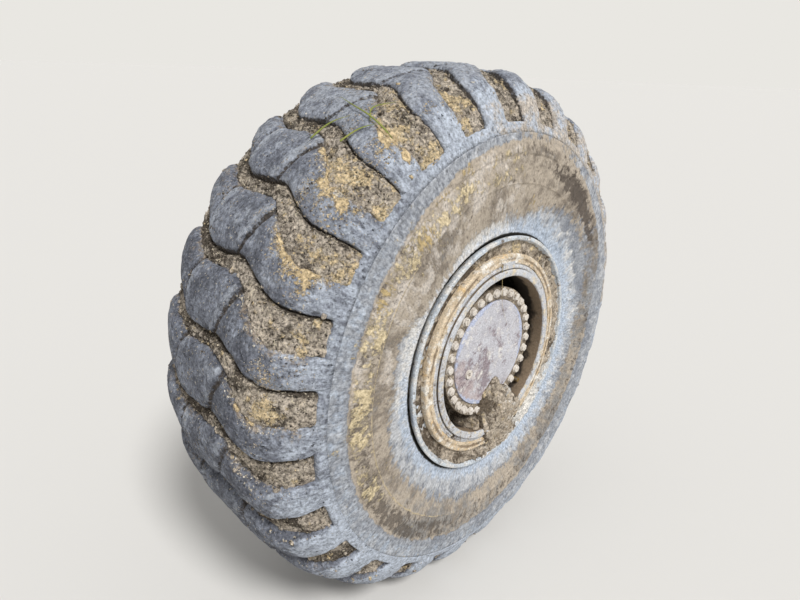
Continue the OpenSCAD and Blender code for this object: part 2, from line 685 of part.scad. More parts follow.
// Spindle: the bolted flange that carries the wheel end, the bracket's boss and the hub's journal
module spindle() {
    color("darkslategray") on_axle() difference() {
        revolve([[spindle_bore_r, -register_h], [register_r, -register_h], [register_r, 0],
            [mount_r - chamfer, 0], [mount_r, chamfer], [mount_r, mount_t - chamfer], [mount_r - chamfer, mount_t],
            [boss_r + 2 * chamfer, mount_t], [boss_r, mount_t + 2 * chamfer], [boss_r, boss_l], [shoulder_r, boss_l],
            [shoulder_r, disc_in_z - shoulder_h], [journal_r, disc_in_z], [journal_r, journal_l - chamfer],
            [journal_r - chamfer, journal_l], [spindle_bore_r, journal_l]]);
        ring_of(mount_count, mount_bolt_r) translate([0, 0, -cut])
            cylinder(r = mount_hole_r, h = mount_t + 2 * cut);
        ring_of(bracket_bolt_count, bracket_bolt_r, 15) translate([0, 0, boss_l - bracket_bolt_l - chamfer])
            cylinder(d = bracket_bolt_d, h = bracket_bolt_l + chamfer + cut);
    }
}

// Bracket ring on the spindle's boss, with an arm to the front and to the rear for the calipers
module brake_bracket() {
    color("darkslategray") on_axle() difference() {
        intersection() {
            union() {
                cylinder(r = boss_r + bracket_margin, h = bracket_z);
                translate([-caliper_r, -bracket_arm_w / 2, 0]) cube([2 * caliper_r, bracket_arm_w, bracket_z]);
            }
            tube(caliper_r - pad_margin, shoulder_r + seat_gap, boss_l, bracket_z);
        }
        ring_of(bracket_bolt_count, bracket_bolt_r, 15) translate([0, 0, boss_l - cut])
            cylinder(d = bracket_bolt_d + 1, h = bracket_t + 2 * cut);
    }
}

module bracket_bolts() {
    color("dimgray") on_axle() ring_of(bracket_bolt_count, bracket_bolt_r, 15) {
        translate([0, 0, bracket_z]) hexagon(brake_bolt_af, brake_bolt_head);
        translate([0, 0, boss_l - bracket_bolt_l])
            cylinder(d = bracket_bolt_d - 2 * bearing_gap, h = bracket_t + bracket_bolt_l);
    }
}

// One caliper, centred on angle 0: two cheeks and a bridge over the disc, with piston housings inboard
module caliper() {
    piston_at_r = (disc_r + caliper_inner_r) / 2;
    piston_turn = asin((piston_r + piston_gap / 2) / piston_at_r);
    difference() {
        union() {
            rotate([0, 0, -caliper_arc / 2]) rotate_extrude(angle = caliper_arc, $fn = 128)
                polygon([[caliper_inner_r, slot_in_z - caliper_back], [caliper_r - 6, slot_in_z - caliper_back],
                    [caliper_r, slot_in_z - caliper_back + 6],
                    [caliper_r, caliper_out_z - 10], [caliper_r - 10, caliper_out_z],
                    [caliper_inner_r + 8, caliper_out_z], [caliper_inner_r, caliper_out_z - 8]]);
            for (side = [-1, 1]) rotate([0, 0, side * piston_turn]) translate([piston_at_r, 0, bracket_z])
                cylinder(r = piston_r, h = slot_in_z - bracket_z - 2);
        }
        rotate_extrude($fn = 128) polygon([[caliper_inner_r - cut, slot_in_z], [bridge_in_r, slot_in_z],
            [bridge_in_r, slot_out_z], [caliper_inner_r - cut, slot_out_z]]);
        rotate([0, 0, -window_arc / 2]) rotate_extrude(angle = window_arc, $fn = 128) polygon([[bridge_in_r - cut, slot_in_z + 12],
            [caliper_r + cut, slot_in_z + 12], [caliper_r + cut, slot_out_z - 12], [bridge_in_r - cut, slot_out_z - 12]]);
    }
}

module caliper_front() {
    color("firebrick") on_axle() caliper();
}

module caliper_rear() {
    color("firebrick") on_axle() rotate([0, 0, 180]) caliper();
}

module brake_pads() {
    pad_arc = caliper_arc - 10;
    color("black") on_axle() for (turn = [0, 180], z = [disc_in_z - pad_gap - pad_t, disc_out_z + pad_gap])
        rotate([0, 0, turn - pad_arc / 2]) rotate_extrude(angle = pad_arc, $fn = 128)
            polygon([[pad_in_r, z], [disc_r - 2, z], [disc_r - 2, z + pad_t], [pad_in_r, z + pad_t]]);
}

// Pressed shield over the disc's inboard side, above and below, with a turned rim and lugs to the bracket
module dirt_shield() {
    half_arc = 90 - caliper_arc / 2 - 4;
    lug_l = shield_z - bracket_z;
    inner = boss_r - 12;
    rim = disc_r + shield_rim;
    color("dimgray") on_axle() for (turn = [90, 270]) rotate([0, 0, turn]) {
        rotate([0, 0, -half_arc]) rotate_extrude(angle = 2 * half_arc, $fn = 128)
            polygon([[inner, shield_z], [rim, shield_z], [rim + shield_t, shield_z],
                [rim + shield_t, disc_in_z + shield_rim], [rim, disc_in_z + shield_rim],
                [rim, shield_z + shield_t], [inner, shield_z + shield_t]]);
        for (side = [-1, 1]) rotate([0, 0, side * 30]) translate([boss_r, 0, bracket_z])
            cylinder(r = shield_lug_r, h = lug_l + cut);
    }
}

// Rigid pipe from one caliper to the other over the top, with its unions and the clips on the shield
module brake_pipe() {
    z = slot_in_z - caliper_back / 2;
    clip_z = z - pipe_d / 2 - pipe_clip_t;
    start = caliper_arc / 2 + seat_gap / pipe_bend_r * 180 / PI;
    color("black") on_axle() {
        rotate([0, 0, start]) rotate_extrude(angle = 180 - 2 * start, $fn = 128)
            translate([pipe_bend_r, z]) circle(d = pipe_d, $fn = 32);
        for (side = [0, 1]) mirror([side, 0, 0]) rotate([0, 0, start]) translate([pipe_bend_r, 0, z])
            rotate([-90, 0, 0]) hexagon(caliper_back - 1, union_l);
        for (a = [60, 90, 120]) rotate([0, 0, a]) translate([pipe_bend_r, 0, clip_z])
            cylinder(d = pipe_d + 2 * pipe_clip_t, h = shield_z - clip_z);
    }
}

// Half shaft through the spindle's bore, splined at its inboard end
module half_shaft() {
    root_r = shaft_r + 1;
    tooth = 360 / spline_teeth;
    color("lightgray") on_axle() {
        revolve([[0, -shaft_reach + 3], [root_r - 2, -shaft_reach], [root_r - 2, spline_l - shaft_reach],
            [shaft_r, spline_l - shaft_reach + 6], [shaft_r, 0],
            [spindle_bore_r - bearing_gap, 8], [spindle_bore_r - bearing_gap, 8 + seal_journal_l],
            [shaft_r, 16 + seal_journal_l], [shaft_r, journal_l + 8], [0, journal_l + 8]]);
        translate([0, 0, -shaft_reach + 3]) linear_extrude(spline_l - 3) polygon([for (i = [0 : spline_teeth - 1])
            each [for (s = [[root_r - 1, -0.34], [root_r + spline_depth, -0.16], [root_r + spline_depth, 0.16],
                [root_r - 1, 0.34]]) let(a = tooth * (i + s[1])) s[0] * [cos(a), sin(a)]]]);
    }
}

// Ventilated disc: two friction plates joined by radial vanes
module brake_disc() {
    vane_l = disc_r - disc_bore_r - 2 * vane_t;
    color("silver") on_axle() difference() {
        union() {
            tube(disc_r, disc_bore_r, disc_in_z, disc_in_z + disc_plate_t);
            tube(disc_r, disc_bore_r, disc_out_z - disc_plate_t, disc_out_z);
            tube(disc_flange_r, disc_bore_r, disc_in_z, disc_out_z);
            ring_of(vane_count, disc_bore_r + vane_t)
                translate([0, -vane_t / 2, disc_in_z + disc_plate_t / 2]) cube([vane_l, vane_t, disc_t - disc_plate_t]);
        }
        ring_of(disc_bolt_count, disc_bolt_r) translate([0, 0, disc_in_z - cut])
            cylinder(d = disc_bolt_d + 1, h = disc_t + 2 * cut);
    }
}

module disc_bolts() {
    color("dimgray") on_axle() ring_of(disc_bolt_count, disc_bolt_r) {
        translate([0, 0, disc_in_z - brake_bolt_head]) hexagon(brake_bolt_af, brake_bolt_head);
        translate([0, 0, disc_in_z]) cylinder(d = disc_bolt_d - 2 * bearing_gap, h = disc_t + disc_bolt_l);
    }
}

// Seal ring in the hub's inboard face, running on the journal
module seal_ring() {
    color("black") on_axle() revolve([[journal_r + bearing_gap, disc_in_z + 2], [disc_bore_r - 3, disc_in_z + 2],
        [disc_bore_r - 3, disc_out_z], [journal_r + bearing_gap, disc_out_z]]);
}

spindle();
brake_bracket();
bracket_bolts();
caliper_front();
caliper_rear();
brake_pads();
dirt_shield();
brake_pipe();
half_shaft();
tyre();
rim_base();
rim_disc();
flange_outer();
flange_inner();
bead_seat_band();
lock_ring();
driver_key();
valve();
hub();
wheel_nuts();
planet_carrier();
hub_cover();
cover_bolts();
oil_plug();
brake_disc();
disc_bolts();
seal_ring();
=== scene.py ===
import math
import random

import bmesh
import bpy
import numpy as np
from mathutils import Matrix, Vector, noise
from mathutils.bvhtree import BVHTree


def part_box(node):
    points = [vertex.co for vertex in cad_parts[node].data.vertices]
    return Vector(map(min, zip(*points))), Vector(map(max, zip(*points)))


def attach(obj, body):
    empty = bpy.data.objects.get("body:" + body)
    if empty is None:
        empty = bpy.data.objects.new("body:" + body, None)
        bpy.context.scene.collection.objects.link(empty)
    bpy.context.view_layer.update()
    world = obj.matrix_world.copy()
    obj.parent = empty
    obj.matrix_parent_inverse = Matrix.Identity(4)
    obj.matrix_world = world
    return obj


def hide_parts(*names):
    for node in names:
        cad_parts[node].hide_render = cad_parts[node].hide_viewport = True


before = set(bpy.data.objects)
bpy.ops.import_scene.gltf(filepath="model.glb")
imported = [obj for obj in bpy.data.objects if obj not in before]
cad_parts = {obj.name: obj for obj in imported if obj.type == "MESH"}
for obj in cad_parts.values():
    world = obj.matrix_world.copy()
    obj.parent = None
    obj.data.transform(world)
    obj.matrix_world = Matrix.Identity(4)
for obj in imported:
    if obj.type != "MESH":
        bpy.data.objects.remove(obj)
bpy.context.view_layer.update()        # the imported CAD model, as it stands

print("frame loaded with", len(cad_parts), "nodes")

# Shapes are worked out in mm: radius from the axle, v outboard of the tyre's middle, angle up from +X
mm = 0.001
tyreLow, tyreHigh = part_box("tyre")
middleY = (tyreLow.y + tyreHigh.y) / 2 / mm
crownR = (tyreHigh.z - tyreLow.z) / 2 / mm
halfWidth = (tyreHigh.y - tyreLow.y) / 2 / mm
floorZ = tyreLow.z


# Plain helpers for numbers and meshes
def toFrame(radius, v, angle):
    return np.stack([radius * np.cos(angle), middleY - v, radius * np.sin(angle)], axis=-1) * mm


def smoothStep(low, high, x):
    t = np.clip((x - low) / (high - low), 0, 1)
    return t * t * (3 - 2 * t)


def between(low, high, over, off, x):     # rises from low to high and falls from over to off
    return smoothStep(low, high, x) * (1 - smoothStep(over, off, x))


def noiseAt(points, size, octaves=4, shift=0.0):     # points in metres, size of the features in mm
    scaled = np.asarray(points) / (size * mm) + shift
    return np.array([noise.fractal(Vector(p), 1.0, 2.0, octaves) for p in scaled.tolist()])


def noiseMoves(points, size, shifts):     # three noises, one for each axis
    return np.stack([noiseAt(points, size, 2, shift) for shift in shifts], axis=-1)


def lumpsAt(points, table):     # noises of a table added up: size and height in mm, octaves, shift
    return sum(high * noiseAt(points, size, octaves, shift) for size, high, octaves, shift in table)


def turnFrom(angle, centre):     # degrees from a place on the wheel, -180 to 180
    return (np.degrees(angle) - centre + 180) % 360 - 180


def blob(angle, v, centreAngle, centreV, angleWidth, vWidth):     # soft spot round a place, degrees and mm
    return np.exp(-(turnFrom(angle, centreAngle) / angleWidth) ** 2 - ((v - centreV) / vWidth) ** 2)


def blobs(angle, v, table):     # the sum of a table of spots, with each one's strength last
    return sum(spot[4] * blob(angle, v, *spot[:4]) for spot in table)


def vertexPlaces(mesh):
    places = np.zeros(len(mesh.vertices) * 3, np.float32)
    mesh.vertices.foreach_get("co", places)
    return places.reshape(-1, 3).astype(float)


def setPlaces(mesh, places):
    mesh.vertices.foreach_set("co", places.astype(np.float32).ravel())
    mesh.update()


def readLayer(mesh, name):
    values = np.zeros(len(mesh.vertices), np.float32)
    mesh.attributes[name].data.foreach_get("value", values)
    return values


def writeLayer(mesh, name, values):
    layer = mesh.attributes.get(name) or mesh.attributes.new(name, "FLOAT", "POINT")
    layer.data.foreach_set("value", np.asarray(values, np.float32))


def polar(places):     # back from metres to radius, v and angle
    x, y, z = places.T
    return np.hypot(x, z) / mm, middleY - y / mm, np.arctan2(z, x)


def takeLayer(mesh, name):     # whole numbers that the modelling kept and the finished piece doesn't need
    values = np.round(readLayer(mesh, name)).astype(int)
    mesh.attributes.remove(mesh.attributes[name])
    return values


def writeGrain(mesh, angle, along, radius):     # UV in metres: round the axle, and along the section
    corners = np.zeros(len(mesh.loops), np.int32)
    mesh.loops.foreach_get("vertex_index", corners)
    starts = np.zeros(len(mesh.polygons), np.int32)
    totals = np.zeros(len(mesh.polygons), np.int32)
    mesh.polygons.foreach_get("loop_start", starts)
    mesh.polygons.foreach_get("loop_total", totals)
    turn = ((angle + math.pi / 2) % (2 * math.pi))[corners]     # the seam lies at the bottom
    face = np.repeat(np.arange(len(starts)), totals)
    highest = np.maximum.reduceat(turn, starts)
    turn = np.where(highest[face] - turn > math.pi, turn + 2 * math.pi, turn)
    uv = np.stack([turn * radius * mm, along[corners] * mm], axis=-1)
    mesh.uv_layers.new(name="grain").data.foreach_set("uv", uv.astype(np.float32).ravel())


def finishPiece(name, mesh, body, material, nodes=()):
    mesh.polygons.foreach_set("use_smooth", np.ones(len(mesh.polygons), bool))
    mesh.materials.append(material)
    piece = linked(name, mesh)
    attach(piece, body)
    if nodes:
        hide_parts(*nodes)
    print("made", name, len(mesh.polygons), "faces")
    return piece


def linked(name, data):     # a new object in the scene
    thing = bpy.data.objects.new(name, data)
    bpy.context.scene.collection.objects.link(thing)
    return thing


def meshFrom(bm, name, outward=True):
    if outward:
        bmesh.ops.recalc_face_normals(bm, faces=bm.faces)
    mesh = bpy.data.meshes.new(name)
    bm.to_mesh(mesh)
    bm.free()
    return mesh


def spinSection(points, sectors, steps, closed=True):     # one sector is spun, then repeated round the axle
    bm = bmesh.new()
    row = bm.verts.layers.float.new("row")
    verts = []
    for i, (radius, v) in enumerate(points):
        vert = bm.verts.new((radius * mm, (middleY - v) * mm, 0))
        vert[row] = i
        verts.append(vert)
    last = len(verts) if closed else len(verts) - 1
    edges = [bm.edges.new((verts[i], verts[(i + 1) % len(verts)])) for i in range(last)]
    sector = 2 * math.pi / sectors
    bmesh.ops.spin(bm, geom=verts + edges, cent=(0, 0, 0), axis=(0, -1, 0), angle=sector, steps=steps)
    bmesh.ops.spin(bm, geom=bm.verts[:] + bm.edges[:] + bm.faces[:], cent=(0, 0, 0), axis=(0, -1, 0),
                   angle=2 * math.pi - sector, steps=sectors - 1, use_duplicate=True)
    bmesh.ops.remove_doubles(bm, verts=bm.verts, dist=0.02 * mm)
    return bm


# Materials
def srgb(text):
    channels = [int(text[i:i + 2], 16) / 255 for i in (0, 2, 4)]
    return tuple(c / 12.92 if c <= 0.04045 else ((c + 0.055) / 1.055) ** 2.4 for c in channels) + (1.0,)


def perMm(size):     # noise scale whose features are so many mm
    return 1000.0 / size


def addNode(tree, kind, settings=None, inputs=None):
    node = tree.nodes.new("ShaderNode" + kind)
    for name, value in (settings or {}).items():
        setattr(node, name, value)
    for name, value in (inputs or {}).items():
        if isinstance(value, bpy.types.NodeSocket):
            tree.links.new(value, node.inputs[name])
        else:
            node.inputs[name].default_value = value
    return node


def grainPlace(tree, stretch):     # features of stretch mm, round the axle and along the section
    uv = addNode(tree, "UVMap", {"uv_map": "grain"}).outputs[0]
    scale = (perMm(stretch[0]), perMm(stretch[1]), 1.0)
    return addNode(tree, "Mapping", None, {"Vector": uv, "Scale": scale}).outputs[0]


noiseSpan = {"From Min": 0.3, "From Max": 0.7}     # where nearly all values of a noise node lie


def coat(weight, first, second, **settings):     # one layer of a surface, in two tones
    return dict(settings, weight=weight, tones=(first, second))


# A surface is a two-toned ground under patchy layers: scuffs, rust, dust and mud. A layer lies where its
# weight, a number or an attribute, tops a noise whose features are size mm, or stretch (round, along) mm
def weatheredSurface(name, ground, layers=(), rough=0.8, metallic=0.0, specular=0.3):
    material = bpy.data.materials.new(name)
    material.use_nodes = True
    tree = material.node_tree
    tree.nodes.clear()
    coords = addNode(tree, "TexCoord").outputs["Object"]
    broad = addNode(tree, "TexNoise", None, {"Vector": coords, "Scale": perMm(ground["size"]), "Detail": 6.0,
                                             "Roughness": 0.6}).outputs[0]
    mottle = addNode(tree, "MapRange", None, {"Value": broad, "From Min": 0.35, "From Max": 0.65}).outputs[0]
    fineInputs = {"Vector": coords, "Scale": perMm(ground["grain"]), "Detail": 6.0, "Roughness": 0.72}
    if "stretch" in ground:
        fineInputs.update({"Vector": grainPlace(tree, ground["stretch"]), "Scale": 1.0})
    fine = addNode(tree, "TexNoise", None, fineInputs).outputs[0]
    flecks = addNode(tree, "MapRange", None, {"Value": fine, **noiseSpan}).outputs[0]
    colour = addNode(tree, "Mix", {"data_type": "RGBA"}, {0: mottle, 6: srgb(ground["tones"][0]),
                                                          7: srgb(ground["tones"][1])}).outputs[2]
    height = addNode(tree, "Math", {"operation": "MULTIPLY"}, {0: fine, 1: ground["relief"]}).outputs[0]
    contrast = ground.get("contrast", 0.18)
    gain = addNode(tree, "MapRange", None, {"Value": fine, "From Min": 0.36, "From Max": 0.64,
                                            "To Min": 1 - contrast, "To Max": 1 + contrast}).outputs[0]
    roughness = None
    for seed, layer in enumerate(layers):
        vector, scale = coords, 1.0
        if "stretch" in layer:
            vector = grainPlace(tree, layer["stretch"])
        else:
            scale = perMm(layer["size"])
        spots = addNode(tree, "TexNoise", {"noise_dimensions": "4D"}, {
            "Vector": vector, "W": 3.7 * (seed + 1), "Scale": scale, "Detail": layer.get("detail", 7.0),
            "Roughness": layer.get("ragged", 0.62)}).outputs[0]
        spread = addNode(tree, "MapRange", None, {"Value": spots, **noiseSpan}).outputs[0]
        weight = layer["weight"]
        if isinstance(weight, str):
            weight = addNode(tree, "Attribute", {"attribute_name": weight}).outputs["Fac"]
        total = addNode(tree, "Math", {"operation": "ADD"}, {0: spread, 1: weight}).outputs[0]
        edge = layer.get("edge", 0.06)
        mask = addNode(tree, "MapRange", {"interpolation_type": "SMOOTHSTEP"}, {
            "Value": total, "From Min": 1 - edge, "From Max": 1 + edge,
            "To Max": layer.get("most", 1.0)}).outputs[0]
        tint = addNode(tree, "Mix", {"data_type": "RGBA"}, {0: flecks, 6: srgb(layer["tones"][0]),
                                                            7: srgb(layer["tones"][1])}).outputs[2]
        colour = addNode(tree, "Mix", {"data_type": "RGBA"}, {0: mask, 6: colour, 7: tint}).outputs[2]
        height = addNode(tree, "Math", {"operation": "MULTIPLY_ADD"}, {0: mask, 1: layer.get("thick", 0.3),
                                                                       2: height}).outputs[0]
        if "rough" in layer:
            before = rough if roughness is None else roughness
            roughness = addNode(tree, "Mix", None, {0: mask, 2: before, 3: layer["rough"]}).outputs[0]
    colour = addNode(tree, "VectorMath", {"operation": "SCALE"}, {0: colour, 3: gain}).outputs[0]
    bump = addNode(tree, "Bump", None, {"Height": height, "Distance": 1.0 * mm, "Strength": 1.0}).outputs[0]
    shader = addNode(tree, "BsdfPrincipled", None, {
        "Base Color": colour, "Roughness": rough if roughness is None else roughness, "Metallic": metallic,
        "Specular IOR Level": specular, "Normal": bump})
    addNode(tree, "OutputMaterial", None, {"Surface": shader.outputs[0]})
    return material


# Tyre: the outline is the CAD tyre's blunt oval; the lugs are cut into it row by row
tyreShape = {
    "widestR": 590, "crownPower": 4, "sidePower": 2.1,
    "lugs": 26, "grooveDepth": 34, "draft": 7,
    "grooveMiddle": 42, "grooveShoulder": 88,     # groove widths at the tread's middle and at the shoulder
    "sweep": 6.8, "bendFrom": 55, "bendTo": 250, "grooveEnd": 311,
    # columns from a groove's middle to a lug's: in pitches, and in mm at the crown up to the last
    "columnAt": (0, 0.1, 0.175, 0.3, 0.5), "columnGap": (0, 18, 23, 52),
    "crispWide": 17, "wornWide": 36, "roundDeep": 15,     # rounding of a lug's upper and worn lower edges
    "edgeWander": 2.5, "edgeWaves": 70,           # how far and how often a groove's edge strays
    "dome": 11,                                   # how far a lug's edges lie under its middle
    "slotAt": (82, 113), "slotLean": (0.46, 0.16), "slotBow": 9,     # tie slots across each lug, near and far
    "slotHalf": 9, "slotFloor": 3, "slotDeep": 9, "slotReach": 80,
    "slotStep": 3.5,                              # how far a lug's outer part lies under its inner one
    # rows, and how much closer they lie at the slots and the grooves' ends, over what width
    "rowGap": 12, "slotRows": (8.5, 16), "endRows": (8, 11),
    "over": 22,                                   # dirt spilt over a lug's lower edge
    "seamR": 700,                                 # where the tread ends and the sidewall starts
}

# Clay dried on the lugs: angle in degrees, v, half widths the same way, strength
clayPatches = [
    (151, 262, 5, 16, 0.75), (134, 215, 5, 42, 0.6), (145, 200, 4, 70, 0.38), (135, 270, 7, 25, 0.55),
    (150, 222, 2, 10, 0.6), (124.5, 250, 4, 18, 0.6), (118, 215, 3, 60, 0.35), (111, 255, 5, 7, 0.6),
    (140, 165, 3, 20, 0.35), (162, 98, 2, 12, 0.5), (168, 235, 4, 40, 0.4), (128, 150, 4, 30, 0.35)]


def sideOutline(radius, shape):     # v of the tyre's outline beside the tread
    part = (radius - shape["widestR"]) / (crownR - shape["widestR"])
    return halfWidth * (1 - part ** shape["sidePower"]) ** (1 / shape["crownPower"])


def pathLength(v, radius):     # along a section, from its first point
    return np.concatenate([[0], np.cumsum(np.hypot(np.diff(v), np.diff(radius)))])


def spreadRows(along, spacing, rows):     # so many places along a section, closer where the spacing is small
    count = np.concatenate([[0], np.cumsum(np.diff(along) / spacing[1:])])
    return np.interp(np.linspace(0, count[-1], rows), count, along)


def crownTable(shape):     # arc length from the middle, v and radius, down to the seam
    height = crownR - shape["widestR"]
    flat = np.linspace(0, 295, 400)
    share = 1 - (flat / halfWidth) ** shape["crownPower"]
    over = shape["widestR"] + height * share ** (1 / shape["sidePower"])
    down = np.linspace(over[-1], shape["seamR"], 300)[1:]
    v = np.concatenate([flat, sideOutline(down, shape)])
    radius = np.concatenate([over, down])
    return pathLength(v, radius), v, radius


arcTable, vTable, rTable = crownTable(tyreShape)
vSlope = np.gradient(vTable, arcTable)
rSlope = np.gradient(rTable, arcTable)
grooveEndArc = float(np.interp(tyreShape["grooveEnd"], vTable, arcTable))
seamArc = float(arcTable[-1])
pitch = 2 * math.pi / tyreShape["lugs"]


def crownAt(arc):     # v, radius and outward normal
    size = np.abs(arc)
    side = np.where(arc < 0, -1.0, 1.0)
    along = np.interp(size, arcTable, vSlope)
    drop = np.interp(size, arcTable, rSlope)
    length = np.hypot(along, drop)
    return (side * np.interp(size, arcTable, vTable), np.interp(size, arcTable, rTable),
            along / length, -side * drop / length)


def turnShare(v, shape):     # how far a groove has turned and widened at v, from 0 to 1
    return smoothStep(shape["bendFrom"], shape["bendTo"], np.abs(v))


def bendAt(v, shape):     # turn of a groove's middle line at v
    return np.sign(v) * math.radians(shape["sweep"]) * turnShare(v, shape)


def grooveHalf(v, shape):
    return (shape["grooveMiddle"] + (shape["grooveShoulder"] - shape["grooveMiddle"]) * turnShare(v, shape)) / 2


def piecewise(x, knots, values):     # linear between knots, with values that vary by vertex
    result = values[0] + 0 * x
    for i in range(len(knots) - 1):
        t = np.clip((x - knots[i]) / (knots[i + 1] - knots[i]), 0, 1)
        result = np.where(x > knots[i], values[i] + (values[i + 1] - values[i]) * t, result)
    return result


def overWide(turn, v):     # how far a groove's dirt spills over the lug below it
    return 5 + tyreShape["over"] * between(70, 150, 290, 305, v) * between(98, 115, 178, 200, turn)


def across(place):     # signed distance from the nearest groove's middle line, in pitches
    return place - np.round(place)


# The worn tread at a place between grooves (in pitches) and along the section (arc): where each vertex
# goes, and how deep it lies under the outline
def treadPlace(place, arc, shape):
    groove = np.round(place)
    offset = across(place)
    fromGroove = np.abs(offset)
    hand = np.sign(offset)
    side = np.where(arc < 0, -1.0, 1.0)
    slotAt, slotLean = (np.where(arc < 0, far, near) for near, far in (shape["slotAt"], shape["slotLean"]))
    window = smoothStep(0, 1, 1 - np.abs(np.abs(arc) - slotAt) / shape["slotReach"])
    halfCrown = pitch / 2 * crownR
    toMiddle = halfCrown - np.interp(fromGroove, shape["columnAt"], (*shape["columnGap"], halfCrown))
    lean = slotLean * toMiddle * hand - side * shape["slotBow"] * (toMiddle / 83) ** 2.2
    arc = arc + lean * window * np.clip(fromGroove / 0.15, 0, 1)
    v, radius, normalR, normalV = crownAt(arc)
    middle = groove * pitch + bendAt(v, shape)
    edgeNoise = noiseAt(toFrame(radius, v, middle) + hand[:, None] * 0.3, shape["edgeWaves"], 2)
    half = grooveHalf(v, shape) + shape["edgeWander"] * edgeNoise
    halfPitch = pitch / 2 * radius
    wide = np.where(offset > 0, shape["wornWide"], shape["crispWide"]) * (1 - 0.35 * turnShare(v, shape))
    knots = [0 * half, half - shape["draft"], half, half + wide, halfPitch]
    dist = piecewise(fromGroove, shape["columnAt"], knots)
    angle = middle + hand * dist / radius
    # depth under the outline: domed lug, rounded edge, drafted wall, floor
    toEdge = np.clip((halfPitch - dist) / (halfPitch - half), 0, 1)
    domeFade = 1 - 0.8 * smoothStep(grooveEndArc - 150, grooveEndArc, np.abs(arc))
    dome = shape["dome"] * toEdge ** 2.2 * domeFade
    q = np.clip(1 - (dist - half) / wide, 0, 1)
    rounding = shape["roundDeep"] * (1 - np.sqrt(1 - q ** 2))
    wall = np.clip((half - dist) / shape["draft"], 0, 1)
    groovePart = rounding + (shape["grooveDepth"] - shape["roundDeep"] - dome * 0.5) * wall
    cut = 1 - smoothStep(grooveEndArc - 9, grooveEndArc + 3, np.abs(arc))
    depth = dome * (0.2 + 0.8 * cut) + groovePart * cut
    # tie slots, each worn to its own depth
    wear = 0.65 + 0.35 * np.sin(np.floor(place) * 12.9898 + side * slotAt) ** 2
    offSlot = (arc - side * slotAt - lean) * side
    onTop = (1 - wall) * (fromGroove > 0.1)
    slotHalf = shape["slotHalf"]
    slot = np.clip((slotHalf - np.abs(offSlot)) / (slotHalf - shape["slotFloor"]), 0, 1) * wear * onTop
    step = between(-4, 4, 10, 75, offSlot) * onTop
    depth = depth + shape["slotDeep"] * slot + shape["slotStep"] * step
    # painted shade: a dark band along each tie slot, where its floor would lie in shadow
    slotShade = (1 - smoothStep(slotHalf - 5, slotHalf + 1, np.abs(offSlot))) * onTop * wear ** 0.5
    return angle, arc, v, radius, normalR, normalV, depth, dist, half, slotShade, offSlot


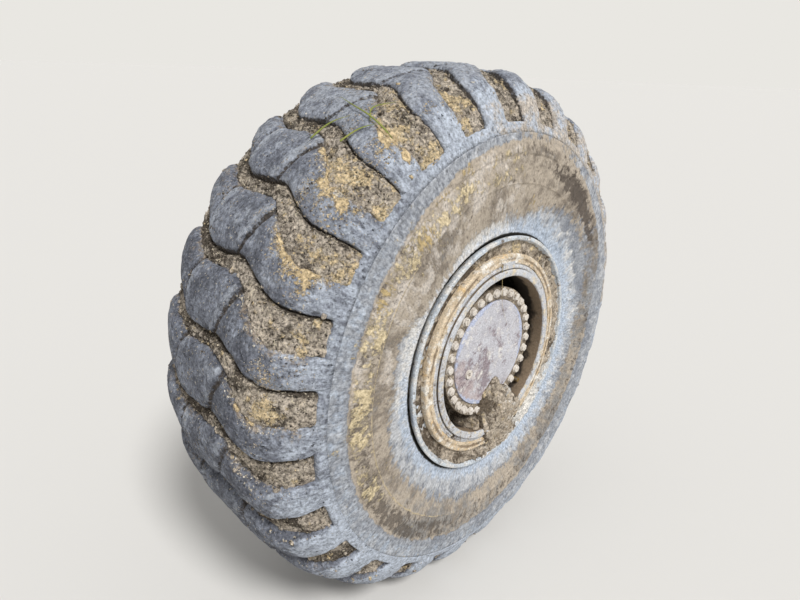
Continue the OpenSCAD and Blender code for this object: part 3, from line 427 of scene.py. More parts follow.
def makeTread(shape, material):
    # rows lie closer at the tie slots and at the grooves' ends
    fineArc = np.linspace(0, seamArc, 2000)
    halves = []
    for slotAt in shape["slotAt"]:
        spacing = 0 * fineArc + shape["rowGap"]
        for at, (closer, width) in ((slotAt, shape["slotRows"]), (grooveEndArc - 2, shape["endRows"])):
            spacing = spacing - closer * np.exp(-((fineArc - at) / width) ** 4)
        halves.append(spreadRows(fineArc, spacing, shape["rows"]))
    arcs = np.concatenate([-halves[1][:0:-1], halves[0]])
    v, radius, _, _ = crownAt(arcs)
    outer = list(zip(radius, v))
    liner = [(700, 279), (745, 262), (790, 195), (808, 0), (790, -195), (745, -262), (700, -279)]
    bm = spinSection(outer + liner, shape["lugs"], shape["columns"])
    mesh = meshFrom(bm, "tyre_tread")
    places = vertexPlaces(mesh)
    row = takeLayer(mesh, "row")
    tread = row < len(arcs)
    angle = polar(places)[2] % (2 * math.pi)
    place = angle[tread] / pitch
    newAngle, arc, v, radius, normalR, normalV, depth, dist, half, slotShade, offSlot = treadPlace(
        place, arcs[row[tread]], shape)
    base = toFrame(radius - depth * normalR, v - depth * normalV, newAngle)
    fade = 1 - smoothStep(seamArc - 18, seamArc - 2, np.abs(arc))
    broad = noiseAt(base, 95, 3)
    small = noiseAt(base, 26, 4, 5.0)
    tiny = noiseAt(base, 8, 2, 9.0)
    nearEdge = np.exp(-((dist - half - 6) / 12) ** 2)
    chips = np.clip(noiseAt(base, 22, 3, 31.0) - 0.2, 0, 1) * 14 * nearEdge
    pits = np.clip(noiseAt(base, 15, 3, 57.0) - 0.3, 0, 1) * 9
    wear = 4.0 * np.abs(broad) + 2.0 * small + 0.9 * tiny + chips + pits
    depth = np.maximum((depth + wear) * fade, 0.4 * fade)
    newPlaces = places.copy()
    newPlaces[tread] = toFrame(radius - depth * normalR, v - depth * normalV, newAngle)
    setPlaces(mesh, newPlaces)
    turn = np.degrees(newAngle) % 360
    sided = np.sign(across(place))
    hollow = smoothStep(13, 32, depth)
    top = 1 - smoothStep(7, 22, depth)
    shoulder = smoothStep(205, 300, v)
    # the upper right lugs are given painted sheen, as well as scuffing
    right = 1 - smoothStep(95, 135, turn)                          # the lugs on the tyre's upper right
    low = smoothStep(175, 215, turn)
    # dirt spills over the worn edge
    lip = np.exp(-((dist - half - 12) / 26) ** 2) * (sided > 0) * overWide(turn, v) / tyreShape["over"]
    # painted shade along each groove's upper wall
    creviceShade = smoothStep(6, 17, depth) * (sided < 0) * smoothStep(half + 12, half, dist)
    # painted light: the crown is painted paler towards the top and darker lower down
    paintedTopLight = smoothStep(168, 112, turn) * (1 - shoulder)          # the crown is paler towards the top
    # painted highlight on the scuffed crest beside each tie slot
    slotCrestSheen = np.exp(-((offSlot + 17) / 11) ** 2) * (depth < 14)
    patches = blobs(newAngle, v, clayPatches)
    values = {
        "hollow": hollow,
        # scuffed lug tops, with painted sheen on the shoulder of the upper right lugs
        "scuffAndSheen": (top * (0.1 + 0.6 * shoulder * (0.6 + 0.6 * right) + 0.3 * low * smoothStep(120, 260, v))
                  - 0.4 * hollow),
        "strand": 0.28 - 0.25 * shoulder + 0.2 * broad,
        "pale": 0.08 + 0.2 * shoulder + 0.1 * right + 0.35 * broad + 0.4 * slotCrestSheen + 0.4 * paintedTopLight,
        # dark mottle, with painted shade on the lower lugs round 172 degrees and less of it towards the top
        "dark": (0.46 - 0.3 * shoulder - 0.28 * paintedTopLight - 0.3 * broad
                 + 0.14 * blob(newAngle, v, 172, 150, 22, 70)),
        "clay": (-0.14 + 1.05 * patches + 0.2 * blob(newAngle, v, 185, 270, 14, 30)
                 + lip * smoothStep(40, 150, v) * (1 - low) * (0.12 + 0.9 * broad + 0.5 * small)
                 + 0.25 * broad),
        "speck": 0.13 + 0.3 * np.clip(patches, 0, 0.5) + 0.15 * lip - 0.1 * shoulder,
        "mist": 0.7 * shoulder * smoothStep(118, 85, turn) - 0.1 + 0.25 * broad,
        "dust": (0.45 * hollow * (1 - smoothStep(182, 200, turn)) + 0.4 * lip + 0.16 * smoothStep(0, 180, -v)
                 + 0.2 * broad + 0.12 * paintedTopLight),
        # painted shade in the groove crevices, along the tie slots and in the lower-left grooves
        "gap": -0.3 + np.maximum(1.15 * creviceShade, 1.05 * slotShade) + 0.5 * smoothStep(182, 200, turn) * hollow,
    }
    for name, value in values.items():
        layer = np.zeros(len(places))
        layer[tread] = value
        writeLayer(mesh, name, layer)
    along = np.zeros(len(places))
    along[tread] = arc
    fullAngle = angle.copy()
    fullAngle[tread] = newAngle
    writeGrain(mesh, fullAngle, along, crownR)
    return finishPiece("tyre_tread", mesh, "wheel", material, ["tyre"])


treadSettings = dict(tyreShape, rows=44, columns=40)

# Tyre rubber, moulded and worn: matt blue-grey, mottled, scratched and scuffed, with painted light and shade
wornTreadRubber = weatheredSurface(
    "wornTreadRubber", dict(tones=("636670", "8b909b"), size=42, grain=9, relief=6, contrast=0.5),
    # dark patches, partly painted shade on the lower crown
    [coat("dark", "3b3d45", "50525a", size=36, edge=0.3, most=0.75, thick=-1.2, detail=9.0, ragged=0.76),
     # pale patches, partly painted light towards the top and on the tie slots' crests
     coat("pale", "bbc0c8", "a0a5ae", size=38, edge=0.3, most=0.75, thick=0.2, detail=9.0, ragged=0.74),
     coat("strand", "3c3e45", "4f5159", stretch=(22, 9), edge=0.2, most=0.6, thick=-1.4, ragged=0.74),
     coat(0.2, "bcc1c9", "a3a8b1", stretch=(20, 8), edge=0.2, most=0.55, thick=0.4, ragged=0.74),
     # pale scuffs, partly painted sheen
     coat("scuffAndSheen", "ccd4df", "b2bac6", stretch=(14, 34), edge=0.3, most=0.8, thick=0.2, ragged=0.74),
     coat(0.22, "5f626b", "72757e", stretch=(8, 20), edge=0.2, most=0.5, thick=-0.6, ragged=0.7),
     coat("dust", "8a7b6c", "a89983", size=12, edge=0.2, most=0.8, thick=0.8, ragged=0.74),
     coat("mist", "ad9f8d", "c0b3a2", size=40, edge=0.2, most=0.8, thick=0.6, detail=9.0, ragged=0.76),
     coat(0.14, "26272c", "34353a", size=10, edge=0.1, thick=-2.5),
     coat("speck", "cfc0a0", "d9d3c8", size=8, edge=0.07, thick=1.2, detail=4.0),
     coat("clay", "bda47c", "d6c29c", size=15, edge=0.06, thick=2.6, detail=12.0, ragged=0.78),
     # painted shade: crevices, tie slots and lower-left grooves
     coat("gap", "2b2622", "483f36", size=10, edge=0.25, most=0.92, thick=-1.0, ragged=0.7)], rough=0.85)
tread = makeTread(treadSettings, wornTreadRubber)


# Sidewall, from the tread's seam down to the bead, on both sides
wallShape = {
    "columns": 780, "rows": 62,
    "ribR": 640, "ribHigh": 5,             # the scuffed shoulder stands over the wall under it
    "lineR": 556, "lineWide": 2.5, "lineHigh": 2,
    "lipR": 399, "pinch": 25.5,            # where the wall meets the flange lip, and how far it draws in
    # inner and outer reach of the dried mud, by angle
    "mudAt": (0, 20, 50, 80, 110, 125, 145, 157, 175, 200, 225, 250, 300, 340, 360),
    "mudIn": (500, 540, 535, 450, 440, 412, 405, 480, 460, 492, 478, 505, 495, 500, 500),
    "mudOut": (600, 640, 660, 668, 668, 655, 648, 645, 644, 642, 640, 636, 600, 592, 600),
    # patches of clay and of wet mud: angle, radius, half widths the same way, strength
    "clayAt": [(111, 660, 4, 26, 0.66), (130, 590, 4, 45, 0.5), (77, 490, 3.5, 50, 0.6),
               (148, 615, 5, 30, 0.45), (120, 640, 3, 14, 0.5), (162, 655, 3, 16, 0.5),
               (176, 600, 3, 30, 0.45)],
    "wetAt": [(56, 612, 17, 45, 0.95), (34, 600, 14, 36, 0.6), (90, 610, 16, 30, 0.3), (215, 625, 12, 25, 0.3)],
    # the wall's inside and its bead, radius and v
    "inside": [(388, 293), (372, 281.4), (353.5, 278.5), (320, 270), (320, 215), (372, 230),
               (590, 300), (700, 279)],
}


def wallSection(shape):
    widestR, lipR = tyreShape["widestR"], shape["lipR"]
    upper = np.linspace(tyreShape["seamR"], widestR, 200)
    lower = np.linspace(widestR, lipR, 300)[1:]
    vLower = halfWidth - shape["pinch"] * ((widestR - lower) / (widestR - lipR)) ** 1.55
    radius = np.concatenate([upper, lower])
    v = np.concatenate([sideOutline(upper, tyreShape), vLower])
    return pathLength(v, radius), v, radius


def makeSidewall(name, side, shape, material):
    arc, v, radius = wallSection(shape)
    # rows lie closer at the rib's step and at the moulded line
    spacing = (1 - 0.55 * np.exp(-((radius - shape["ribR"]) / 9) ** 2)
               - 0.6 * np.exp(-((radius - shape["lineR"]) / 6) ** 2))
    rows = spreadRows(arc, spacing, shape["rows"])
    outer = list(zip(np.interp(rows, arc, radius), np.interp(rows, arc, v)))
    bm = spinSection([(r, side * w) for r, w in outer + shape["inside"]], 26, shape["columns"] // 26)
    mesh = meshFrom(bm, name)
    places = vertexPlaces(mesh)
    row = takeLayer(mesh, "row")
    radius, v, angle = polar(places)
    skin = row < len(outer)
    fade = smoothStep(700, 685, radius)
    broad = noiseAt(places, 120, 3)
    small = noiseAt(places, 30, 4, 4.0)
    tiny = noiseAt(places, 9, 3, 8.0)
    mudBand = between(545, 565, 630, 645, radius)
    onWall = 1 - smoothStep(shape["ribR"] - 5, shape["ribR"] + 3, radius + 2 * small)
    relief = -shape["ribHigh"] * onWall - 1.0
    relief += shape["lineHigh"] * np.exp(-((radius - shape["lineR"]) / shape["lineWide"]) ** 2)
    relief += mudBand * np.clip(2.2 + 3 * small + 1.6 * tiny, 0, 5) + 0.8 * broad + 0.35 * tiny
    relief += blob(angle, radius, 62, 635, 13, 42) * np.clip(5 * tiny + 5 * small, -1, 7)
    relief *= 0.25 + 0.75 * smoothStep(shape["lipR"], shape["lipR"] + 25, radius)
    newV = np.where(skin, v + side * relief * fade, v)
    newV = np.clip(newV, -halfWidth + 0.2, halfWidth - 0.2)
    setPlaces(mesh, toFrame(radius, newV, angle))
    turn = np.degrees(angle) % 360
    left = between(60, 100, 225, 265, turn)     # the muddier side
    right = 1 - smoothStep(60, 110, np.abs(turnFrom(angle, 0)))
    mudIn = np.interp(turn, shape["mudAt"], shape["mudIn"])
    mudOut = np.interp(turn, shape["mudAt"], shape["mudOut"])
    band = smoothStep(550, 575, radius) * (1 - smoothStep(mudOut - 18, mudOut, radius))
    reach = smoothStep(mudIn - 65, mudIn + 65, radius) * (1 - smoothStep(mudOut - 16, mudOut + 18, radius))
    ring = smoothStep(500, 425, radius)
    layers = {
        "shoulder": smoothStep(shape["ribR"] - 4, shape["ribR"] + 10, radius + 8 * small),
        "mud": (-0.15 + 1.15 * reach * (1 - 0.45 * blob(angle, radius, 12, 590, 26, 90)) - 0.2 * right * band
                + 0.85 * blob(angle, radius, 76, 680, 26, 60) + 0.1 * small),
        "mudTone": reach * (0.44 + 0.6 * broad + 0.3 * small),
        "mudPale": (reach * (0.42 - 0.6 * noiseAt(places, 70, 3, 44.0))
                    * (1 - 0.7 * smoothStep(160, 185, turn)) * (1 - right)),
        "grey": reach * (0.1 + 0.42 * (1 - between(10, 40, 195, 225, turn)) + 0.3 * broad),
        "fleck": (-0.06 + 0.36 * band * between(70, 100, 195, 235, turn)
                  + 0.14 * left * smoothStep(440, 520, radius) + 0.3 * broad + 0.25 * small),
        "stain": (0.05 + 0.2 * band * smoothStep(110, 160, turn) + 0.2 * blob(angle, radius, 80, 670, 22, 30)
                  + 0.3 * blob(angle, radius, 222, 610, 24, 40) + 0.1 * reach - 0.25 * small + 0.06 * right),
        "blue": (smoothStep(470, 415, radius) * (0.7 - 0.35 * left * (1 - smoothStep(150, 190, turn)))
                 + 0.35 * right * smoothStep(520, 470, radius)
                 + 0.35 * smoothStep(650, 662, radius) * smoothStep(120, 150, turn)),
        "ochre": (-0.14 + 0.26 * between(112, 125, 145, 165, turn) * reach
                  + blobs(angle, radius, shape["clayAt"])),
        "line": (np.exp(-((radius - shape["lineR"] - 2 * small) / 3) ** 2)
                 * (0.2 + 0.6 * left * smoothStep(110, 150, turn))),
        "pale": (0.1 + 0.5 * smoothStep(530, 460, radius) + 0.12 * smoothStep(640, 660, radius)
                 + 0.2 * right * smoothStep(585, 610, radius) + 0.3 * small),
        "white": (0.85 * ring * smoothStep(55, 85, turn) * (1 - 0.6 * smoothStep(165, 205, turn)) * (1 - right)
                  + 0.42 * smoothStep(580, 480, radius) * right - 0.1),
        "wet": blobs(angle, radius, shape["wetAt"]) - 0.1,
        # painted shade in the gap where the wall meets the flange lip
        "dirt": smoothStep(404, 398, radius),
        "scratch": 0.08 + 0.3 * smoothStep(640, 655, radius),
    }
    for layer, values in layers.items():
        writeLayer(mesh, layer, values)
    writeGrain(mesh, angle, radius, 600)
    return finishPiece(name, mesh, "wheel", material, ["tyre"])


# Sidewall rubber, moulded smooth: pale where water ran, brown under dried mud that ran towards the rim, painted
# shade at the lip gap
sidewallRubber = weatheredSurface(
    "sidewallRubber",
    dict(tones=("80848c", "9ea1a6"), size=60, grain=7, stretch=(8, 11), relief=4, contrast=0.42),
    [coat("pale", "cbccce", "b4b5b7", stretch=(34, 46), edge=0.2, most=0.85, thick=0.3, detail=9.0, ragged=0.7),
     coat("white", "e4e1dc", "d2cfca", stretch=(34, 42), edge=0.2, most=0.9, thick=0.3, detail=9.0, ragged=0.7),
     coat("blue", "a3b2c6", "bcc7d5", stretch=(28, 40), edge=0.3, most=0.75, thick=0.2, ragged=0.7),
     coat("scratch", "585b63", "70737a", stretch=(9, 26), edge=0.2, most=0.55, thick=-0.8, ragged=0.7),
     coat("scratch", "cdd1d7", "b8bcc3", stretch=(9, 24), edge=0.2, most=0.5, thick=0.4, ragged=0.7),
     coat("mud", "c0b3a3", "a09483", stretch=(24, 44), edge=0.13, most=0.95, thick=1.2, detail=12.0,
          ragged=0.74),
     coat("mudTone", "8a7f72", "71685e", stretch=(34, 60), edge=0.25, most=0.85, thick=-0.5, detail=9.0,
          ragged=0.76),
     coat("grey", "8f8e8c", "7f7e7d", stretch=(30, 42), edge=0.25, most=0.75, thick=-0.4, ragged=0.7),
     coat("mudPale", "d3cbc3", "c2b8ac", stretch=(30, 54), edge=0.2, most=0.85, thick=0.4, detail=9.0,
          ragged=0.76),
     coat("stain", "61584f", "4c453f", stretch=(16, 24), edge=0.12, most=0.8, thick=-1.0, ragged=0.76),
     coat("fleck", "ceb98e", "dccdab", stretch=(16, 22), edge=0.08, most=0.85, thick=1.4, detail=9.0,
          ragged=0.78),
     coat("wet", "625850", "453e38", stretch=(18, 26), edge=0.14, most=0.9, thick=0.8, ragged=0.76),
     coat("ochre", "cdb788", "bda67a", stretch=(12, 34), edge=0.1, thick=1.2, detail=10.0, ragged=0.74),
     coat("line", "c2b294", "ae9f84", size=8, edge=0.15, thick=0.6),
     # painted shade at the lip gap
     coat("dirt", "26241f", "35322d", size=12, edge=0.3, thick=0.5)], rough=0.88)
makeSidewall("tyre_sidewall_out", 1, wallShape, sidewallRubber)
makeSidewall("tyre_sidewall_in", -1, dict(wallShape, columns=416, rows=40), sidewallRubber)


# A mesh of many unit balls, with each vertex's ball and its place on that ball
def manyLumps(name, count):
    bm = bmesh.new()
    ball = bm.verts.layers.float.new("ball")
    bmesh.ops.create_icosphere(bm, subdivisions=1, radius=1)
    made = 1
    while made < count:
        copies = bmesh.ops.duplicate(bm, geom=bm.verts[:] + bm.edges[:] + bm.faces[:])["geom"]
        for vert in copies:
            if isinstance(vert, bmesh.types.BMVert):
                vert[ball] += made
        made *= 2
    bmesh.ops.delete(bm, geom=[v for v in bm.verts if v[ball] >= count], context="VERTS")
    mesh = meshFrom(bm, name, outward=False)
    return mesh, takeLayer(mesh, "ball"), vertexPlaces(mesh)


# Dirt packed in the grooves, and the crumbs over it
dirtShape = {"columns": 19, "rows": 100, "gap": 20, "gapWide": 13, "clods": 9400, "crumbs": 6200,
             "clusters": 420, "clusterWide": 9,
             "lumps": [(75, 6.5, 3, 2.0), (24, 6.0, 4, 6.0), (10, 3.5, 3, 12.0)]}


# Depth of the dirt under the outline; beside is mm from the groove's middle line
def fillDepth(angle, v, beside, half, points):
    turn = np.degrees(angle) % 360
    near = smoothStep(-20, 190, v)
    flush = near * between(92, 118, 172, 192, turn)
    sunk = smoothStep(180, 200, turn) * (1 - smoothStep(230, 290, v))
    depth = 23 - 13 * flush - 5 * smoothStep(255, 300, v) + 11 * sunk
    depth -= 3 * smoothStep(60, 95, 150 - turn) * near
    depth += lumpsAt(points, dirtShape["lumps"])
    gapWide = dirtShape["gapWide"] * (1 - 0.45 * turnShare(v, tyreShape))
    # dirt bridges the crevice in places
    gaping = np.clip(1.0 + 1.1 * noiseAt(points, 110, 2, 33.0), 0.3, 1.3)
    depth += (dirtShape["gap"] * smoothStep(-half + gapWide, -half + 1, beside)
              * (0.35 + 0.65 * smoothStep(105, 150, turn)) * gaping)
    depth += 9 * smoothStep(half, half + overWide(turn, v), beside) + 30 * smoothStep(-half, -half - 8, beside)
    return np.clip(depth, 3.5, 33)


def makeGrooveDirt(shape, material):
    bm = bmesh.new()
    for i in range(tyreShape["lugs"]):
        bmesh.ops.create_grid(bm, x_segments=shape["columns"], y_segments=shape["rows"], size=1,
                              matrix=Matrix.Translation((10.0 * i, 0, 0)))
    mesh = meshFrom(bm, "groove_dirt", outward=False)
    mesh.flip_normals()
    grid = vertexPlaces(mesh)
    groove = np.round(grid[:, 0] / 10)
    side = grid[:, 0] - groove * 10
    arc = grid[:, 1] * (grooveEndArc + 3)
    v, radius, normalR, normalV = crownAt(arc)
    half = grooveHalf(v, tyreShape)
    beside = side * half + np.where(side > 0, side * overWide(np.degrees(groove * pitch) % 360, v), side * 4)
    angle = groove * pitch + bendAt(v, tyreShape) + beside / radius
    base = toFrame(radius, v, angle)
    depth = fillDepth(angle, v, beside, half, base)
    setPlaces(mesh, toFrame(radius - depth * normalR, v - depth * normalV, angle))
    writeSoil(mesh, angle, v, smoothStep(-half + shape["gapWide"] + 6, -half + 2, beside))
    return finishPiece("groove_dirt", mesh, "wheel", material)


# Ochre at the near ends of the grooves; painted shade in the crevices and on the lower grooves; darker where it
# is damp and towards the tread's middle
def writeSoil(mesh, angle, v, creviceShade, tone=0.0):
    turn = np.degrees(angle) % 360
    high = between(92, 112, 180, 205, turn)
    places = vertexPlaces(mesh)
    broad = noiseAt(places, 60, 3, 21.0)
    damp = noiseAt(places, 70, 3, 61.0)
    topEnds = 0.3 + 0.48 * smoothStep(155, 118, turn)
    writeLayer(mesh, "ochre", -0.2 + topEnds * high * smoothStep(60, 260, v) + 0.08 * smoothStep(270, 300, v)
               + 0.85 * broad + tone)
    # painted shade in the crevice and on the lower grooves, with real damp patches
    writeLayer(mesh, "dark", 0.12 + 0.8 * creviceShade + 0.58 * smoothStep(140, 20, v)
               + 0.14 * smoothStep(160, 176, turn) + 0.3 * (1 - high) + 0.8 * damp
               - 0.25 * smoothStep(260, 300, v) - tone)


def upperSkin(*pieces):     # one search tree over finished pieces
    verts, faces = [], []
    for piece in pieces:
        start = len(verts)
        verts.extend(vert.co for vert in piece.data.vertices)
        faces.extend([start + i for i in face.vertices] for face in piece.data.polygons)
    return BVHTree.FromPolygons(verts, faces)


def restPlaces(skin, angle, arc):     # where points dropped on the tread along its normal come to lie
    v, radius, normalR, normalV = crownAt(arc)
    above = toFrame(radius + 3 * normalR, v + 3 * normalV, angle)
    inward = -np.stack([normalR * np.cos(angle), -normalV, normalR * np.sin(angle)], axis=-1)
    places = above.copy()
    for i in range(len(above)):
        hit = skin.ray_cast(Vector(above[i]), Vector(inward[i]), 60 * mm)[0]
        places[i] = hit if hit else above[i] + inward[i] * 20 * mm
    return places, inward


def scatterCrumbs(name, angle, arc, size, flat, rng, material):     # dried soil, each crumb with its tone
    count = len(size)
    places, inward = restPlaces(treadSkin, angle, arc)
    centres = places + inward * (size * 0.2 * mm)[:, None]
    mesh, crumb, shapes = manyLumps(name, count)
    turns = [Matrix.Rotation(rng.uniform(0, 6.28), 3, rng.normal(size=3).tolist()) for _ in range(count)]
    squash = rng.uniform(0.55, 1.2, (count, 3))
    lumps = np.einsum("nij,nj->ni", np.array(turns)[crumb], shapes * squash[crumb])
    lumps -= (1 - flat) * np.sum(lumps * inward[crumb], axis=1)[:, None] * inward[crumb]
    lumps = lumps * (size[crumb] * mm)[:, None] + centres[crumb]
    moves = noiseMoves(lumps, 6, (0.0, 40.0, 80.0)) * (0.5 * size[crumb] * mm)[:, None]
    radius, v, angle = polar(lumps + moves)
    setPlaces(mesh, toFrame(np.minimum(radius, crownR - 0.2), v, angle))
    writeSoil(mesh, angle, v, np.zeros(len(v)) - 0.3, rng.normal(0.05, 0.36, count)[crumb])
    return finishPiece(name, mesh, "wheel", material)


def makeClods(shape, material):     # in the grooves
    rng = np.random.default_rng(11)
    count = shape["clods"]
    groove = rng.integers(0, tyreShape["lugs"], count)
    arc = rng.uniform(-grooveEndArc + 8, grooveEndArc - 8, count)
    v, radius, _, _ = crownAt(arc)
    beside = rng.normal(0.2, 0.62, count) * grooveHalf(v, tyreShape)
    angle = groove * pitch + bendAt(v, tyreShape) + beside / radius
    size = 1.8 + 8 * rng.random(count) ** 4
    return scatterCrumbs("groove_clods", angle, arc, size, 0.9, rng, material)


def makeLugCrumbs(shape, material):     # round the clay patches on the lugs
    rng = np.random.default_rng(23)
    count = shape["crumbs"]
    patches = np.array(clayPatches)
    area = patches[:, 2] * patches[:, 3]
    clusters = shape["clusters"]
    pick = rng.choice(len(patches), clusters, p=area / np.sum(area))
    loose = rng.random(clusters) < 0.3     # these clusters lie anywhere on the near lugs
    turn = np.where(loose, rng.uniform(70, 240, clusters),
                    patches[pick, 0] + patches[pick, 2] * rng.normal(0, 0.7, clusters))
    v = np.where(loose, rng.uniform(-150, 300, clusters),
                 patches[pick, 1] + patches[pick, 3] * rng.normal(0, 0.7, clusters))
    which = rng.integers(0, clusters, count)
    v = np.clip(v[which] + shape["clusterWide"] * rng.normal(0, 1, count), -290, 312)
    turn = np.radians(turn[which]) + shape["clusterWide"] * rng.normal(0, 1, count) / crownR
    arc = np.sign(v) * np.interp(np.abs(v), vTable, arcTable)
    size = 1.0 + 3.2 * rng.random(count) ** 3
    return scatterCrumbs("lug_crumbs", turn, arc, size, 0.5, rng, material)


# Dried clay soil, packed and crumbly: tan and brown with ochre lumps, and dark pores of painted shade between
# crumbs
driedSoil = weatheredSurface(
    "driedSoil", dict(tones=("92887c", "beb3a5"), size=30, grain=8, relief=8.0, contrast=0.78),
    # dark where damp, and painted shade in the crevices and lower grooves
    [coat("dark", "585047", "3b342d", size=22, edge=0.14, most=0.92, thick=-2.5, detail=10.0, ragged=0.78),
     coat(0.38, "d2c6b5", "bfb19e", size=42, edge=0.15, most=0.85, thick=0.8, detail=9.0, ragged=0.78),
     coat(0.27, "665d54", "524a43", size=38, edge=0.15, most=0.85, thick=-1.0, detail=9.0, ragged=0.78),
     coat("ochre", "dac7a4", "bfaa86", size=18, edge=0.1, thick=1.4, detail=9.0, ragged=0.76),
     coat(0.26, "ddd3bf", "cabda3", size=7, edge=0.08, thick=1.4, detail=5.0),
     # dark pores: painted shade between the crumbs
     coat(0.2, "2c2722", "413a32", size=8, edge=0.08, thick=-2.5, detail=5.0)], rough=0.97, specular=0.08)
treadSkin = upperSkin(tread, makeGrooveDirt(dirtShape, driedSoil))
makeClods(dirtShape, driedSoil)
makeLugCrumbs(dirtShape, driedSoil)


def bevelSharp(bm, sharp, offset, segments):     # edges sharper than so many degrees
    edges = [e for e in bm.edges if len(e.link_faces) == 2 and e.calc_face_angle() > math.radians(sharp)]
    bmesh.ops.bevel(bm, geom=edges, offset=offset * mm, segments=segments, profile=0.5, affect="EDGES",
                    clamp_overlap=True, material=-1)


# Rings of the rim and the hub: a section is spun, its sharp edges are bevelled, then it is dented a little
def spunRing(name, points, node, material, settings):
    bm = spinSection(points, settings["sectors"], settings["steps"])
    bmesh.ops.recalc_face_normals(bm, faces=bm.faces)
    bevelSharp(bm, settings["sharp"], settings["bevel"], settings["segments"])
    mesh = meshFrom(bm, name)
    places = vertexPlaces(mesh)
    radius, v, angle = polar(places)
    dent = settings["dent"]
    radius = radius + np.where(radius > 1, dent * noiseAt(places, 60, 3), 0)
    v = v + dent * noiseAt(places, 80, 3, 7.0)
    if "shape" in settings:
        radius, v = settings["shape"](radius, v, angle)
    setPlaces(mesh, toFrame(radius, v, angle))
    writeGrain(mesh, angle, radius + v, float(np.max(radius)))
    return finishPiece(name, mesh, "wheel", material, [node])


def arcPoints(centreR, centreV, size, start, end, steps):     # points of an arc in a section, degrees
    turns = np.radians(np.linspace(start, end, steps + 1))
    return [(centreR + size * math.cos(t), centreV + size * math.sin(t)) for t in turns]


rimShape = {
    "seatR": 317.5, "flangeFace": 279.5, "flangeThick": 13, "curlR": 353.5, "lipV": 319.5, "curl": 40,
    "endRingR": 336, "endRingV": 316.5, "bandR": 298.5, "lockOutR": 304.5, "lockV": 292.5,
    "ringLineR": 319,                      # a dark line in a shallow groove on the end ring's face
    "gutterR": 284, "gutterV": 325.5, "gutterLip": 8, "boreR": 266, "barrelR": 296, "barrelInR": 282,
}
ringSettings = {"sectors": 24, "steps": 12, "bevel": 2.5, "segments": 3, "sharp": 32, "dent": 0.7}


def flangePoints(side, shape):
    outer = arcPoints(shape["curlR"], shape["lipV"], shape["curl"], -90, 0, 16)
    inner = arcPoints(shape["curlR"], shape["lipV"], shape["curl"] - shape["flangeThick"], 0, -90, 12)
    seat, face = shape["seatR"] + 0.3, shape["flangeFace"]
    foot = [(seat, face + shape["flangeThick"]), (seat, face)]
    return [(r, side * v) for r, v in foot + outer + inner]


# Rim paint, blue-grey and chalky, with rust at the edges and dried mud over it
rimPaint = weatheredSurface(
    "rimPaint", dict(tones=("88919b", "a9b1b9"), size=40, grain=5, relief=1.5, contrast=0.4),
    [coat(0.3, "7d6a58", "62544a", size=22, edge=0.1, thick=-0.2),
     coat(0.48, "ccc8c0", "bdb5a8", size=32, edge=0.2, thick=0.5, ragged=0.7),
     coat(0.24, "ccb791", "bba27a", size=20, edge=0.08, thick=0.9, ragged=0.7)], rough=0.7)
# Lip paint, scoured pale by the ground, with rust and clay where it is sheltered
lipPaint = weatheredSurface(
    "lipPaint", dict(tones=("a4acb5", "c4cbd1"), size=40, grain=5, relief=1.5, contrast=0.4),
    [coat(0.46, "d6d4cf", "c6c4c0", size=34, edge=0.2, thick=0.4, ragged=0.72),
     coat(0.25, "7a6a59", "5c5148", size=24, edge=0.1, thick=-0.3, ragged=0.74),
     coat(0.2, "ccb78f", "b79f77", size=20, edge=0.08, thick=0.9, ragged=0.74)], rough=0.7)
# Band paint stained ochre by rust and clay
bandPaint = weatheredSurface(
    "bandPaint", dict(tones=("d2c0a6", "bba98f"), size=40, grain=5, relief=1.5, contrast=0.36),
    [coat(0.3, "dfc193", "cbac7e", size=32, edge=0.12, thick=0.6, ragged=0.7),
     coat(0.27, "7d6c5a", "63574b", size=20, edge=0.1, thick=-0.4, ragged=0.74),
     coat(0.38, "ece7de", "dbd5ca", size=34, edge=0.15, thick=0.5, ragged=0.72),
     coat("line", "8b775e", "6f5f4d", size=30, edge=0.3, most=0.85, thick=-0.4, ragged=0.72)], rough=0.8)
# Gutter paint, pale grey under a film of dust; brown in the bore, and painted shade deeper down it
gutterPaint = weatheredSurface(
    "gutterPaint", dict(tones=("c9cacd", "b0b2b6"), size=40, grain=5, relief=1.2, contrast=0.34),
    [coat(0.3, "8a7b68", "6c6156", size=26, edge=0.12, thick=-0.3, ragged=0.74),
     coat(0.34, "d8cdb9", "cabda4", size=25, edge=0.15, thick=0.5, ragged=0.7),
     coat("brown", "8f7d68", "7a6a58", size=30, edge=0.3, thick=0.4),
     # painted shade down the bore
     coat("grime", "3c342c", "2b2621", size=30, edge=0.4, thick=0.4)], rough=0.75)

for name, side, node, paint in (("rim_flange_outer", 1, "flange_outer", lipPaint),
                                ("rim_flange_inner", -1, "flange_inner", rimPaint)):
    spunRing(name, flangePoints(side, rimShape), node, paint, dict(ringSettings, bevel=3))


def bandPoints(s):
    ring, face = s["endRingR"], s["endRingV"]
    line = [(s["ringLineR"] + r, face) for r in (8, 4, 2, 0, -2, -4, -8)]
    return [(s["bandR"], 189.5), (306.5, 181.5), (309.5, 181.5), (s["seatR"], 197.5), (s["seatR"], 292.5),
            (ring - 3, 292.5), (ring, 295.5), (ring, face - 3), (ring - 3, face), *line,
            (s["lockOutR"], face), (s["lockOutR"], s["lockV"]), (s["bandR"], 284.5)]


def notchBand(radius, v, angle):     # the pry slot in the end ring
    slotR = rimShape["endRingR"] - 8
    inSlot = (np.abs(turnFrom(angle, 133)) < 2.9) & (v > 300.5) & (radius > slotR)
    line = np.exp(-((radius - rimShape["ringLineR"]) / 2.5) ** 2) * (v > 310)
    return np.where(inSlot, slotR, radius), v - 1.8 * line


